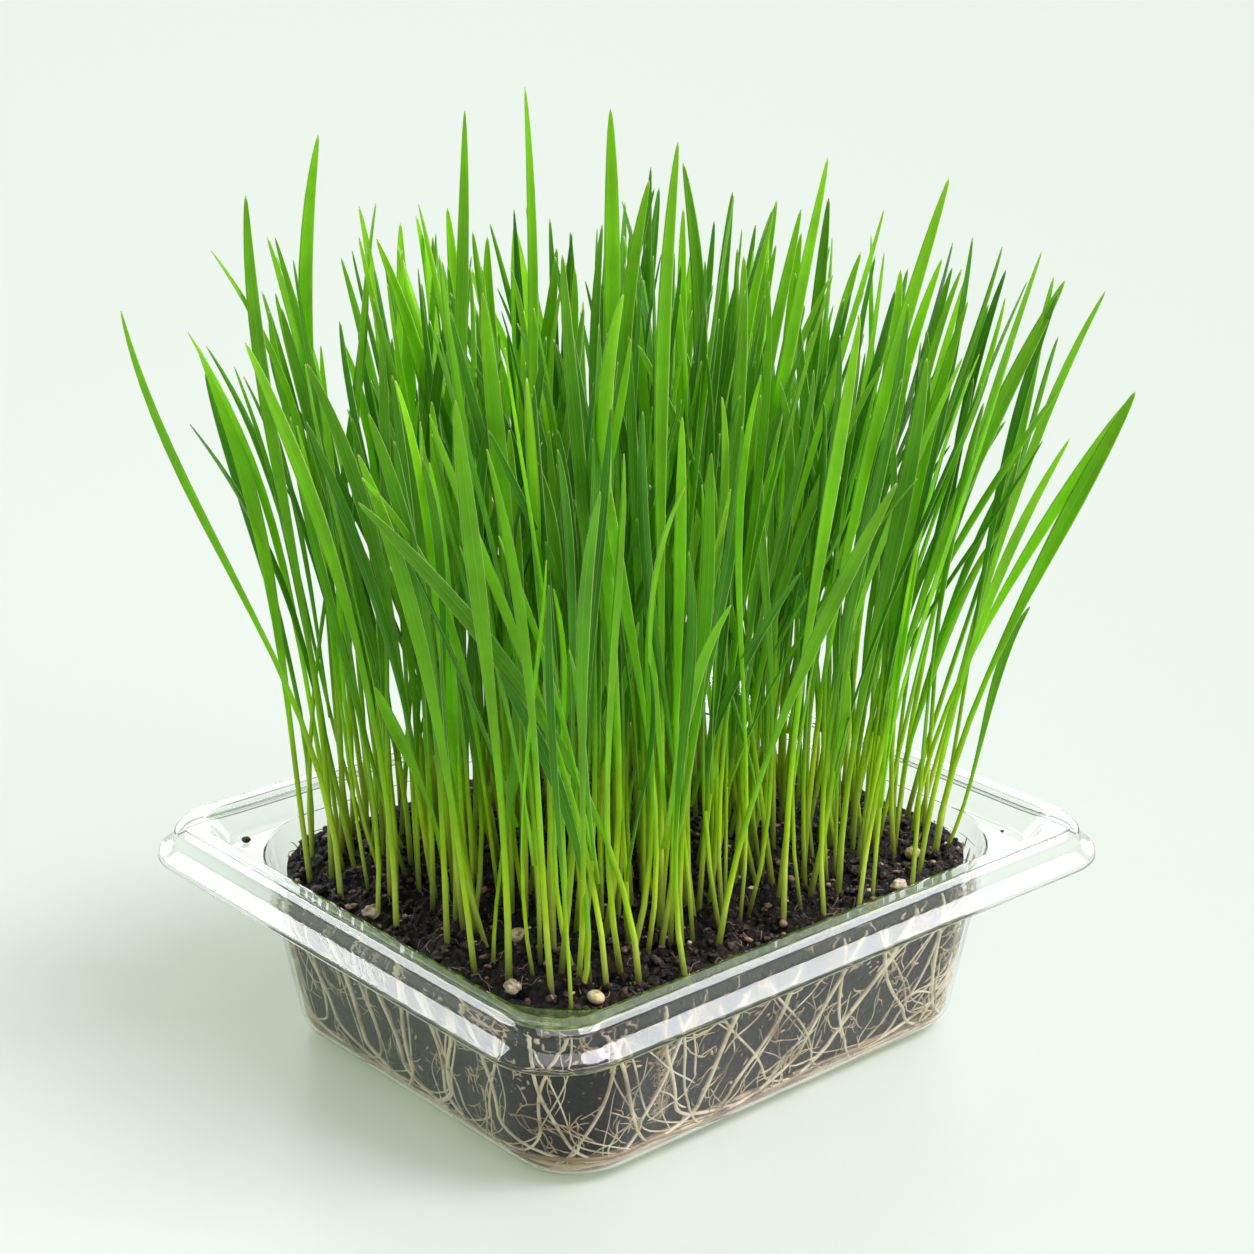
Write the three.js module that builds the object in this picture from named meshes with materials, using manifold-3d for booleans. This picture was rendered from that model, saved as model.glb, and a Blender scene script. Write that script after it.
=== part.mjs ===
// A clear thermoformed tray of growing medium with a stand of young wheat plants.
// Millimetres, +Z up, origin at the middle of the tray's underside, +X along the tray's long side.
import * as THREE from "three";
import { mergeVertices } from "three/addons/utils/BufferGeometryUtils.js";
import Module from "manifold-3d";

const wasm = await Module();
wasm.setup();

// ---------------------------------------------------------------- driving sizes

const TRAY = { length: 150, width: 133, sheet: 0.6 };

// The sheet's upper face from the floor out to the lip. Inset is measured in from the lip's outline.
const FLOOR_ROUND = { inset: 25.8, z: 6.6, radius: 6 };
const WALL_FOOT = { inset: 19.85, z: 6.2, corner: 15 };
const WELL_MOUTH = { inset: 12.9, z: 39.9, corner: 24 };
const RIM = [
  { inset: 11.6, z: 39.9, corner: 9.4 }, // ledge meets the bead
  { inset: 9.0, z: 44.2, corner: 10.2 },
  { inset: 8.3, z: 44.7, corner: 10.6 }, // bead's flat top
  { inset: 4.5, z: 44.7, corner: 11.0 },
  { inset: 3.6, z: 44.2, corner: 11.6 },
  { inset: 3.0, z: 41.2, corner: 12.3 }, // skirt
  { inset: 2.3, z: 40.3, corner: 13.0 },
  { inset: 0.8, z: 40.1, corner: 14.6 }, // flared lip
  { inset: 0.1, z: 39.6, corner: 15.3 },
  { inset: 0.0, z: 39.0, corner: 15.4 },
];

const SOIL = { top: 36.6, bottom: 0.9, mound: 1.0, relief: 0.45, skin: 2.2 };
const ROOT = { offset: 1.1, top: 34.5, ringHeight: 3.3, ringRadius: 0.8, strandRadius: 0.46, strands: 20 };
const STEM = { radius: 0.98, depth: 5, socketRadius: 1.5, spacing: 6 };
const BLADE = { width: 3.3, thickness: 0.55, tipWidth: 0.5 };

const CORNER_STEPS = 6; // vertices round each corner of the tray
const COLOURS = {
  tray: 0xeef4f2,
  soil: 0x2a1f19,
  roots: 0xcdbf9f,
  grain: 0xd9c08a,
  perlite: 0xe9e2d4,
  leaf: [0x5aa31f, 0x6db52a, 0x4c9420, 0x7fc035],
};

// Tall and outermost plants: where each stands on the soil, where its tip ends, and its blade's turn.
const OUTLINE_PLANTS = [
  { foot: [-55, 21], tip: [-82, 44, 153], turn: 70 },
  { foot: [-54, 33], tip: [-66, 45, 144], turn: 20 },
  { foot: [-51, 30], tip: [-59, 37, 172], turn: 130 },
  { foot: [-44, 37], tip: [-42, 38, 181], turn: 60 },
  { foot: [-31, 12], tip: [-28, 12, 187], turn: 30 },
  { foot: [-23, 5], tip: [-19, 6, 191], turn: 110 },
  { foot: [-17, -12], tip: [-15, -13, 189], turn: 150 },
  { foot: [-17, -29], tip: [-17, -33, 186], turn: 40 },
  { foot: [10, -23], tip: [20, -32, 179], turn: 80 },
  { foot: [19, -31], tip: [38, -45, 175], turn: 15 },
  { foot: [28, -38], tip: [55, -59, 156], turn: 100 },
  { foot: [47, -40], tip: [75, -61, 132], turn: 140 },
  { foot: [38, -44], tip: [54, -63, 127], turn: 50 },
  { foot: [-34, -43], tip: [-73, -15, 129], turn: 75 },
  { foot: [-40, -41], tip: [-64, -24, 145], turn: 25 },
  { foot: [-49, -36], tip: [-60, -34, 140], turn: 95 },
  { foot: [-14, -42], tip: [9, -62, 127], turn: 160 },
  { foot: [-54, -20], tip: [-72, -14, 137], turn: 120 },
  { foot: [-55, 3], tip: [-76, 13, 152], turn: 45 },
];
const FIELD = { columns: 7, rows: 6, halfLength: 52, halfWidth: 43, jitter: 3, twoBladed: 0.26 };
const PLANT_COUNT = 48;

// Bits lying on the soil: half sizes and turn about the vertical, in degrees.
const BITS = [
  { name: "grain_1", at: [-40, -15], half: [1.9, 1.7, 1.5], turn: 20, colour: "grain" },
  { name: "grain_2", at: [-44.5, -43], half: [2.0, 1.4, 1.2], turn: 75, colour: "grain" },
  { name: "grain_3", at: [44, -37], half: [1.9, 1.5, 1.3], turn: 140, colour: "grain" },
  { name: "perlite_1", at: [-55.5, 10.5], half: [2.0, 1.7, 1.4], turn: 40, colour: "perlite" },
  { name: "perlite_2", at: [-54, -31], half: [1.8, 1.5, 1.3], turn: 100, colour: "perlite" },
  { name: "perlite_3", at: [31, -45.5], half: [2.1, 1.4, 1.3], turn: 10, colour: "perlite" },
];

// ---------------------------------------------------------------- small helpers

/** A repeatable stream of numbers from 0 to 1. */
function numbers(seed) {
  let state = seed;
  return () => {
    state = (state * 1664525 + 1013904223) % 4294967296;
    return state / 4294967296;
  };
}

const mix = (a, b, t) => a + (b - a) * t;

/** Turns a three.js geometry into a manifold-3d solid, leaving out collapsed triangles. */
function solid(geometry) {
  const bare = geometry.clone();
  bare.deleteAttribute("normal");
  bare.deleteAttribute("uv");
  const welded = mergeVertices(bare, 1e-4);
  const corners = welded.index.array;
  const kept = [];
  for (let i = 0; i < corners.length; i += 3) {
    const [a, b, c] = corners.slice(i, i + 3);
    if (a !== b && b !== c && c !== a) kept.push(a, b, c);
  }
  return new wasm.Manifold(
    new wasm.Mesh({
      numProp: 3,
      vertProperties: Float32Array.from(welded.attributes.position.array),
      triVerts: Uint32Array.from(kept),
    }),
  );
}

/** Turns a manifold-3d solid into a named three.js mesh. */
function part(name, body, colour, roughness) {
  const mesh = body.getMesh();
  const geometry = new THREE.BufferGeometry();
  geometry.setAttribute("position", new THREE.BufferAttribute(Float32Array.from(mesh.vertProperties), 3));
  geometry.setIndex(new THREE.BufferAttribute(Uint32Array.from(mesh.triVerts), 1));
  geometry.computeVertexNormals();
  const made = new THREE.Mesh(
    geometry,
    new THREE.MeshStandardMaterial({ color: colour, roughness, metalness: 0 }),
  );
  made.name = name;
  return made;
}

/**
 * Revolves a closed profile, then pulls the round turn out into a rounded rectangle.
 * Each level has inset, z and corner; a level with no inset is the middle.
 */
function roundedTurn(levels, lift = () => 0) {
  const columns = 4 * CORNER_STEPS;
  const flat = levels.map((level) => new THREE.Vector2(1, level.z));
  const geometry = new THREE.LatheGeometry(flat, columns);
  const place = geometry.attributes.position;
  for (let i = 0; i <= columns; i++) {
    const quarter = Math.floor(i / CORNER_STEPS) % 4;
    const angle = (Math.PI / 2) * (quarter + (i % CORNER_STEPS) / (CORNER_STEPS - 1));
    const signX = quarter === 0 || quarter === 3 ? 1 : -1;
    const signY = quarter < 2 ? 1 : -1;
    levels.forEach((level, j) => {
      let x = 0;
      let y = 0;
      if (level.inset !== undefined) {
        x = signX * (TRAY.length / 2 - level.inset - level.corner) + level.corner * Math.cos(angle);
        y = signY * (TRAY.width / 2 - level.inset - level.corner) + level.corner * Math.sin(angle);
      }
      place.setXYZ(i * levels.length + j, x, y, level.z + lift(x, y, level.z));
    });
  }
  return solid(geometry);
}

/**
 * Bends a straight rod along a curve.
 * section(t) gives the half width along reference(t) and the half thickness across it.
 */
function bentRod(curve, section, reference, sides, steps) {
  const geometry = new THREE.CylinderGeometry(1, 1, 1, sides, steps);
  const place = geometry.attributes.position;
  for (let i = 0; i < place.count; i++) {
    const t = place.getY(i) + 0.5;
    const along = curve.getTangent(t);
    const side = reference(t).clone();
    side.addScaledVector(along, -side.dot(along)).normalize();
    const across = side.clone().cross(along);
    const size = section(t);
    const point = curve.getPoint(t);
    point.addScaledVector(side, place.getX(i) * size.half);
    point.addScaledVector(across, place.getZ(i) * size.thick);
    place.setXYZ(i, point.x, point.y, point.z);
  }
  return solid(geometry);
}

// ---------------------------------------------------------------- tray

/** The well wall's inset and corner radius at a height. */
function wallAt(z) {
  const t = (z - WALL_FOOT.z) / (WELL_MOUTH.z - WALL_FOOT.z);
  return {
    inset: mix(WALL_FOOT.inset, WELL_MOUTH.inset, t),
    corner: mix(WALL_FOOT.corner, WELL_MOUTH.corner, t),
  };
}

/** The sheet's upper face: floor rounding, wall, ledge and rim. */
function upperFace() {
  const rounding = [90, 62, 34].map((degrees) => {
    const a = THREE.MathUtils.degToRad(degrees);
    const inset = FLOOR_ROUND.inset - FLOOR_ROUND.radius * Math.cos(a);
    const z = FLOOR_ROUND.z - FLOOR_ROUND.radius * Math.sin(a);
    return { inset, z, corner: WALL_FOOT.corner - (inset - WALL_FOOT.inset) };
  });
  return [...rounding, WALL_FOOT, WELL_MOUTH, ...RIM];
}

/** The face one sheet thickness below, found by moving each point square to its neighbours. */
function lowerFace(face) {
  return face.map((level, i) => {
    const before = face[Math.max(i - 1, 0)];
    const after = face[Math.min(i + 1, face.length - 1)];
    const square = (a, b) => new THREE.Vector2(b.z - a.z, b.inset - a.inset).normalize();
    const first = i === 0 ? new THREE.Vector2(0, -1) : square(before, level);
    const second = i === face.length - 1 ? first : square(level, after);
    const move = first.clone().add(second).multiplyScalar(TRAY.sheet / (1 + first.dot(second)));
    return { inset: level.inset - move.x, z: level.z + move.y, corner: level.corner + move.x };
  });
}

function makeTray() {
  const upper = upperFace();
  const lower = lowerFace(upper).reverse();
  return roundedTurn([{ z: 0 }, ...lower.slice().reverse(), ...upper.slice().reverse(), { z: TRAY.sheet }]);
}

// ---------------------------------------------------------------- soil

/** Gentle unevenness of the soil's top. */
function soilRelief(x, y) {
  const waves = Math.sin(0.31 * x + 1.3) * Math.cos(0.27 * y) + Math.sin(0.17 * x - 0.23 * y + 2.1);
  const middle = 1 - Math.hypot(x / 60, y / 52);
  return SOIL.relief * waves + SOIL.mound * middle;
}

const soilHeight = (x, y) => SOIL.top + soilRelief(x, y);

function makeSoil() {
  const side = (z, trim = 0) => {
    const wall = wallAt(z);
    const inset = wall.inset + SOIL.skin + trim;
    return { inset, z, corner: wall.corner - SOIL.skin - trim };
  };
  const ring = (extra) => {
    const edge = side(SOIL.top);
    return { inset: edge.inset + extra, z: SOIL.top, corner: Math.max(edge.corner - extra, 4) };
  };
  const levels = [
    { z: SOIL.bottom },
    { inset: 27.5, z: SOIL.bottom, corner: 8 },
    { inset: 24.5, z: 3.4, corner: 10.5 },
    side(8),
    side(34.2),
    ring(1.2),
    ring(9),
    ring(18),
    ring(29),
    ring(41),
    { z: SOIL.top },
  ];
  return roundedTurn(levels, (x, y, z) => (z >= SOIL.top ? soilRelief(x, y) : 0));
}

/** The blind hole that a plant's stem stands in. */
function socket([x, y]) {
  const height = STEM.depth + 5;
  const hole = new THREE.CylinderGeometry(STEM.socketRadius, STEM.socketRadius, height, 6);
  hole.rotateX(Math.PI / 2);
  hole.translate(x, y, soilHeight(x, y) - STEM.depth - 0.4 + height / 2);
  return solid(hole);
}

// ---------------------------------------------------------------- roots

/** A point between the soil and the wall; turn counts once round the tray, from 0 to 1. */
function skinPoint(turn, z) {
  const wall = wallAt(Math.max(z, FLOOR_ROUND.z));
  let inset = wall.inset + ROOT.offset;
  if (z < FLOOR_ROUND.z) {
    const radius = FLOOR_ROUND.radius - ROOT.offset;
    inset = FLOOR_ROUND.inset - Math.sqrt(radius ** 2 - (FLOOR_ROUND.z - z) ** 2);
  }
  const corner = wall.corner - (inset - wall.inset);
  const x = TRAY.length / 2 - inset;
  const y = TRAY.width / 2 - inset;
  const outline = new THREE.Path();
  outline.moveTo(x, 0);
  outline.lineTo(x, y - corner);
  outline.absarc(x - corner, y - corner, corner, 0, Math.PI / 2);
  outline.lineTo(corner - x, y);
  outline.absarc(corner - x, y - corner, corner, Math.PI / 2, Math.PI);
  outline.lineTo(-x, corner - y);
  outline.absarc(corner - x, corner - y, corner, Math.PI, 1.5 * Math.PI);
  outline.lineTo(x - corner, -y);
  outline.absarc(x - corner, corner - y, corner, 1.5 * Math.PI, 2 * Math.PI);
  outline.lineTo(x, 0);
  const at = outline.getPointAt(((turn % 1) + 1) % 1);
  return new THREE.Vector3(at.x, at.y, z);
}

/** A root's centre line on the inside of the wall. */
class WallCurve extends THREE.Curve {
  constructor(turnAt, heightAt) {
    super();
    this.turnAt = turnAt;
    this.heightAt = heightAt;
  }

  getPoint(t, target = new THREE.Vector3()) {
    return target.copy(skinPoint(this.turnAt(t), this.heightAt(t)));
  }
}

function root(turnAt, heightAt, radius, sides, steps) {
  const curve = new WallCurve(turnAt, heightAt);
  const outward = (t) => {
    const point = curve.getPoint(t);
    return new THREE.Vector3(point.x, point.y, 0).normalize();
  };
  return bentRod(curve, () => ({ half: radius, thick: radius }), outward, sides, steps);
}

/** The bundle that circles the bottom edge: one thick root and one that winds over it. */
function rootRing() {
  const halves = [];
  for (const start of [0.12, 0.62]) {
    const turnAt = (t) => start + 0.504 * t;
    halves.push(root(turnAt, () => ROOT.ringHeight, ROOT.ringRadius, 5, 18));
    const winding = (t) => ROOT.ringHeight + 0.9 + 1.0 * Math.sin(8 * Math.PI * turnAt(t));
    halves.push(root(turnAt, winding, ROOT.strandRadius, 4, 22));
  }
  return halves.reduce((joined, half) => joined.add(half));
}

function makeRoots() {
  const random = numbers(41);
  let mat = rootRing();
  const strands = ROOT.strands;
  for (let i = 0; i < strands; i++) {
    const start = (i + 0.6 * random()) / strands;
    const drift = (i % 2 ? 1 : -1) * mix(0.015, 0.06, random());
    const sway = 0.006 * (random() - 0.5);
    const top = ROOT.top - 5 * random();
    const turnAt = (t) => start + drift * t + sway * Math.sin(2 * Math.PI * t);
    const heightAt = (t) => mix(top, ROOT.ringHeight, t);
    mat = mat.add(root(turnAt, heightAt, ROOT.strandRadius * mix(0.8, 1.25, random()), 4, 6));
  }
  return mat;
}

// ---------------------------------------------------------------- plants

/** Width and thickness of a shoot: a round sheath that opens into a flat, pointed blade. */
function shootSection(t, opening, width) {
  const sheath = STEM.radius * mix(1, 0.85, t / opening);
  if (t < opening) return { half: sheath, thick: sheath };
  const open = (t - opening) / (1 - opening);
  const flattening = Math.min(open / 0.3, 1);
  const full = mix(sheath, width / 2, Math.sin((Math.min(open / 0.45, 1) * Math.PI) / 2));
  const narrowing = Math.max((open - 0.55) / 0.45, 0) ** 1.8;
  return {
    half: mix(full, BLADE.tipWidth / 2, narrowing),
    thick: mix(sheath, BLADE.thickness / 2, flattening) * mix(1, 0.7, narrowing),
  };
}

/** One shoot from its foot to its tip, upright at first and then leaning out. */
function shoot(foot, tip, turn, twist, opening, width, steps) {
  const height = tip.z - foot.z;
  const lean = new THREE.Vector3(tip.x - foot.x, tip.y - foot.y, 0);
  const low = new THREE.Vector3(0, 0, 0.38 * height).addScaledVector(lean, 0.01).add(foot);
  const high = new THREE.Vector3(0, 0, 0.72 * height).addScaledVector(lean, 0.52).add(foot);
  const curve = new THREE.CubicBezierCurve3(foot, low, high, tip);
  const reference = (t) => {
    const a = THREE.MathUtils.degToRad(turn + twist * t);
    return new THREE.Vector3(Math.cos(a), Math.sin(a), 0);
  };
  return bentRod(curve, (t) => shootSection(t, opening, width), reference, 6, steps);
}

/** A plant with one main shoot and, on some plants, a second blade that leaves the sheath. */
function plantBody(plan, random) {
  const [x, y] = plan.foot;
  const foot = new THREE.Vector3(x, y, soilHeight(x, y) - STEM.depth);
  const tip = new THREE.Vector3(...plan.tip);
  const opening = mix(0.26, 0.36, random());
  const width = BLADE.width * mix(0.85, 1.1, random());
  const main = shoot(foot, tip, plan.turn, mix(-60, 60, random()), opening, width, 9);
  if (!plan.second) return main;
  const start = foot.clone().add(new THREE.Vector3(0, 0, 9));
  const away = new THREE.Vector3(...plan.second);
  const side = shoot(start, away, plan.turn + 50, 40, 0.2, width * 0.8, 6);
  return main.add(side.subtract(socketGuard(foot)));
}

/** Keeps a second blade out of the soil round the stem. */
function socketGuard(foot) {
  const block = new THREE.BoxGeometry(30, 30, 2 * STEM.depth);
  block.translate(foot.x, foot.y, foot.z);
  return solid(block);
}

/** Plans the rest of the stand on a loose grid, tips spreading out from the middle. */
function fieldPlans(random) {
  const plans = [];
  const jitter = () => mix(-FIELD.jitter, FIELD.jitter, random());
  for (let row = 0; row < FIELD.rows; row++) {
    for (let column = 0; column < FIELD.columns; column++) {
      const x = mix(-FIELD.halfLength, FIELD.halfLength, column / (FIELD.columns - 1)) + jitter();
      const y = mix(-FIELD.halfWidth, FIELD.halfWidth, row / (FIELD.rows - 1)) + jitter();
      if (Math.hypot(x / 58, y / 50) > 1.17) continue;
      const spread = mix(0.2, 0.5, random());
      const edge = Math.max(Math.abs(x) / 58, Math.abs(y) / 50);
      const tip = [x * (1 + spread), y * (1 + spread), mix(182, 150, edge) + mix(-14, 6, random())];
      const twoBladed = random() < FIELD.twoBladed;
      plans.push({ foot: [x, y], tip, turn: 180 * random(), twoBladed, order: random() });
    }
  }
  return plans.sort((a, b) => a.order - b.order);
}

/** Grows the plants one by one, trying again with a changed lean where two would touch. */
function makePlants(obstacles) {
  const random = numbers(7);
  const placed = [];
  const touches = (body) =>
    [...obstacles, ...placed.map((p) => p.body)].some((other) => body.minGap(other, 0.5) < 0.25);
  for (const plan of [...OUTLINE_PLANTS, ...fieldPlans(random)]) {
    const [x, y, z] = plan.tip;
    const crowded =
      plan.order !== undefined &&
      placed.some((p) => Math.hypot(p.foot[0] - plan.foot[0], p.foot[1] - plan.foot[1]) < STEM.spacing);
    if (crowded || placed.length >= PLANT_COUNT) continue;
    for (let attempt = 0; attempt < 40; attempt++) {
      const stray = 0.5 * attempt;
      const tip = [x + stray * (random() - 0.5), y + stray * (random() - 0.5), z];
      const second = plan.twoBladed && attempt < 20
        ? [x + mix(-14, 14, random()), y + mix(-14, 14, random()), z - mix(18, 50, random())]
        : null;
      const body = plantBody({ ...plan, tip, second }, random);
      if (touches(body)) continue;
      placed.push({ body, foot: plan.foot });
      break;
    }
  }
  return placed;
}

// ---------------------------------------------------------------- loose bits

function bit({ at: [x, y], half, turn }, growth = 0) {
  const pebble = new THREE.IcosahedronGeometry(1, 1);
  pebble.scale(...half.map((h) => h + growth));
  pebble.rotateZ(THREE.MathUtils.degToRad(turn));
  pebble.translate(x, y, soilHeight(x, y) + 0.75 * half[2]);
  return solid(pebble);
}

// ---------------------------------------------------------------- the whole thing

const tray = makeTray();
const bits = BITS.map((spec) => ({ ...spec, body: bit(spec) }));
const plants = makePlants([tray, ...bits.map((b) => b.body)]);
let soil = makeSoil();
for (const plant of plants) soil = soil.subtract(socket(plant.foot));
for (const spec of BITS) soil = soil.subtract(bit(spec, 0.25));

const whole = new THREE.Group();
whole.name = "wheatgrass_tray";
whole.add(part("tray", tray, COLOURS.tray, 0.08));
whole.add(part("soil", soil, COLOURS.soil, 0.95));
whole.add(part("root_mat", makeRoots(), COLOURS.roots, 0.75));
for (const b of bits) whole.add(part(b.name, b.body, COLOURS[b.colour], 0.85));
plants.forEach((plant, i) => {
  const name = "plant_" + String(i + 1).padStart(2, "0");
  whole.add(part(name, plant.body, COLOURS.leaf[i % COLOURS.leaf.length], 0.5));
});

export default whole;
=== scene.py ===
"""Looks of the wheatgrass tray: clear sheet, crumbly soil, roots, grains and a dense stand of shoots."""

from __future__ import annotations

import logging
import math
import random
from dataclasses import dataclass, field
from enum import Enum
from typing import Sequence

import bmesh
import bpy
from mathutils import Matrix, Vector, noise

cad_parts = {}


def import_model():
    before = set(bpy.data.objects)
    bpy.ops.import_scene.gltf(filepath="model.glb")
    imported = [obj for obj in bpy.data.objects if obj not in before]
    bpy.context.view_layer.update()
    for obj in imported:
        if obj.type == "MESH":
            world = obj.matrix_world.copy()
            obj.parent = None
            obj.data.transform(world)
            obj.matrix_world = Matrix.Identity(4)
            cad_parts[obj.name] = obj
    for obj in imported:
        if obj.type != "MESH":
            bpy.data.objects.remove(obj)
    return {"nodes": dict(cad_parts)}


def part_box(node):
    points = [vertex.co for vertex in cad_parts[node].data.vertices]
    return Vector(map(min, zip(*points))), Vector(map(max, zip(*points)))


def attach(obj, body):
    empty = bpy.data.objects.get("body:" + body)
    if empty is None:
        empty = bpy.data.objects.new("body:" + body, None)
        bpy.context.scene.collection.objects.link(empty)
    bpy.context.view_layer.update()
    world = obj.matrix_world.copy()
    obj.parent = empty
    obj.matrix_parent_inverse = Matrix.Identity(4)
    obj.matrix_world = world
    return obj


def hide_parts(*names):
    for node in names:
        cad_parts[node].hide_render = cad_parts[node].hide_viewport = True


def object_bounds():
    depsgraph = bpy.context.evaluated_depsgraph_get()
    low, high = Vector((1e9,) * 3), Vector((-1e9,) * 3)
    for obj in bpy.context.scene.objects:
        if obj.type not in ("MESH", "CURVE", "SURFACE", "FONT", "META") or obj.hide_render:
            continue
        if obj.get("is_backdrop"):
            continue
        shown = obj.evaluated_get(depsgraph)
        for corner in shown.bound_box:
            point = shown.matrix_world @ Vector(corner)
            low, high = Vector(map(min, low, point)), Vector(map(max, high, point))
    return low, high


LOG = logging.getLogger("wheatgrass_tray")
MM = 0.001
BODY = "root"
Colour = tuple[float, float, float, float]
Socket = bpy.types.NodeSocket
Ring = list[bmesh.types.BMVert]
Edges = list[bmesh.types.BMEdge]
Course = list[tuple[Vector, float]]


# ---------------------------------------------------------------- finishes


class Slot(Enum):
    """The record's material slots."""

    TRAY = "tray_sheet"
    SOIL = "soil"
    ROOT = "root"
    GRAIN = "grain"
    PERLITE = "perlite"
    LEAF = "leaf"


class NodeBoard:
    """A node tree with a short way to add joined nodes."""

    def __init__(self, tree: bpy.types.NodeTree) -> None:
        """Keeps the tree that nodes are added to."""
        self.tree = tree

    def add(self, kind: str, inputs: dict | None = None, **settings: object) -> bpy.types.Node:
        """Adds one node.

        Args:
            kind: The node's type name.
            inputs: Values, or sockets to link from, by input name or number.
            settings: Properties of the node itself.

        Returns:
            The new node.
        """
        made = self.tree.nodes.new(kind)
        for name, value in settings.items():
            setattr(made, name, value)
        for key, value in (inputs or {}).items():
            if isinstance(value, bpy.types.NodeSocket):
                self.tree.links.new(value, made.inputs[key])
            else:
                made.inputs[key].default_value = value
        return made

    def math(self, operation: str, first: object, second: object = 0.5, third: object = 0.0) -> Socket:
        """Adds a Math node.

        Args:
            operation: The Math node's operation.
            first: First value or socket.
            second: Second value or socket.
            third: Third value or socket.

        Returns:
            The value socket.
        """
        return self.add("ShaderNodeMath", {0: first, 1: second, 2: third}, operation=operation).outputs[0]

    def blend(self, share: object, first: object, second: object, mode: str = "MIX") -> Socket:
        """Adds a colour mix.

        Args:
            share: How much of the second colour shows.
            first: First colour or socket.
            second: Second colour or socket.
            mode: The mix's blend type.

        Returns:
            The colour socket.
        """
        node = self.add("ShaderNodeMix", data_type="RGBA", blend_type=mode)
        for index, value in ((0, share), (6, first), (7, second)):
            if isinstance(value, bpy.types.NodeSocket):
                self.tree.links.new(value, node.inputs[index])
            else:
                node.inputs[index].default_value = value
        return node.outputs[2]

    def ramp(self, value: Socket, stops: Sequence[tuple[float, Colour]]) -> Socket:
        """Adds a colour ramp.

        Args:
            value: What runs along the ramp.
            stops: Position and colour of each stop.

        Returns:
            The colour socket.
        """
        node = self.add("ShaderNodeValToRGB", {0: value})
        elements = node.color_ramp.elements
        while len(elements) < len(stops):
            elements.new(0.5)
        for element, (position, colour) in zip(elements, stops):
            element.position = position
            element.color = colour
        return node.outputs[0]

    def window(self, value: object, low: float, high: float, start: float = 0.0, end: float = 1.0) -> Socket:
        """Maps a range of a value smoothly onto another range.

        Args:
            value: The value or socket to map.
            low: Value that gives start.
            high: Value that gives end.
            start: Result at low.
            end: Result at high.

        Returns:
            The mapped value's socket.
        """
        node = self.add(
            "ShaderNodeMapRange",
            {0: value, 1: low, 2: high, 3: start, 4: end},
            interpolation_type="SMOOTHSTEP",
        )
        return node.outputs[0]


def shader_group(name: str, inputs: dict[str, tuple[str, object]], outputs: dict[str, str]) -> tuple:
    """Makes an empty shader node group.

    Args:
        name: The group's name.
        inputs: Socket type and default by input name.
        outputs: Socket type by output name.

    Returns:
        The group, its board, its input node and its output node.
    """
    group = bpy.data.node_groups.new(name, "ShaderNodeTree")
    for label, (kind, value) in inputs.items():
        made = group.interface.new_socket(label, in_out="INPUT", socket_type=kind)
        if kind != "NodeSocketVector":
            made.default_value = value
    for label, kind in outputs.items():
        group.interface.new_socket(label, in_out="OUTPUT", socket_type=kind)
    board = NodeBoard(group)
    return group, board, board.add("NodeGroupInput"), board.add("NodeGroupOutput")


def make_mottle() -> bpy.types.NodeTree:
    """Builds the group that blends two colours in soft natural patches.

    Returns:
        The shader node group.
    """
    group, board, given, result = shader_group(
        "mottle",
        {
            "Vector": ("NodeSocketVector", None),
            "Scale": ("NodeSocketFloat", 200.0),
            "Dark": ("NodeSocketColor", (0, 0, 0, 1)),
            "Light": ("NodeSocketColor", (1, 1, 1, 1)),
            "Low": ("NodeSocketFloat", 0.35),
            "High": ("NodeSocketFloat", 0.65),
        },
        {"Color": "NodeSocketColor", "Mask": "NodeSocketFloat"},
    )
    cloud = board.add(
        "ShaderNodeTexNoise",
        {
            "Vector": given.outputs["Vector"],
            "Scale": given.outputs["Scale"],
            "Detail": 5.0,
            "Roughness": 0.62,
        },
    )
    mask = board.add(
        "ShaderNodeMapRange",
        {0: cloud.outputs[0], 1: given.outputs["Low"], 2: given.outputs["High"]},
        interpolation_type="SMOOTHSTEP",
    )
    colour = board.blend(mask.outputs[0], given.outputs["Dark"], given.outputs["Light"])
    board.tree.links.new(colour, result.inputs["Color"])
    board.tree.links.new(mask.outputs[0], result.inputs["Mask"])
    return group


def make_crumble() -> bpy.types.NodeTree:
    """Builds the group that gives a rough, crumbly height with small pits.

    Returns:
        The shader node group.
    """
    group, board, given, result = shader_group(
        "crumble",
        {"Vector": ("NodeSocketVector", None), "Scale": ("NodeSocketFloat", 600.0)},
        {"Height": "NodeSocketFloat"},
    )
    cells = board.add(
        "ShaderNodeTexVoronoi", {"Vector": given.outputs["Vector"], "Scale": given.outputs["Scale"]}
    )
    grit = board.add(
        "ShaderNodeTexNoise",
        {
            "Vector": given.outputs["Vector"],
            "Scale": board.math("MULTIPLY", given.outputs["Scale"], 2.3),
            "Detail": 6.0,
            "Roughness": 0.7,
        },
    )
    height = board.math("MULTIPLY_ADD", grit.outputs[0], 0.8, cells.outputs["Distance"])
    board.tree.links.new(height, result.inputs["Height"])
    return group


@dataclass
class Groups:
    """The shader node groups that several finishes share."""

    mottle: bpy.types.NodeTree = field(default_factory=make_mottle)
    crumble: bpy.types.NodeTree = field(default_factory=make_crumble)


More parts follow.
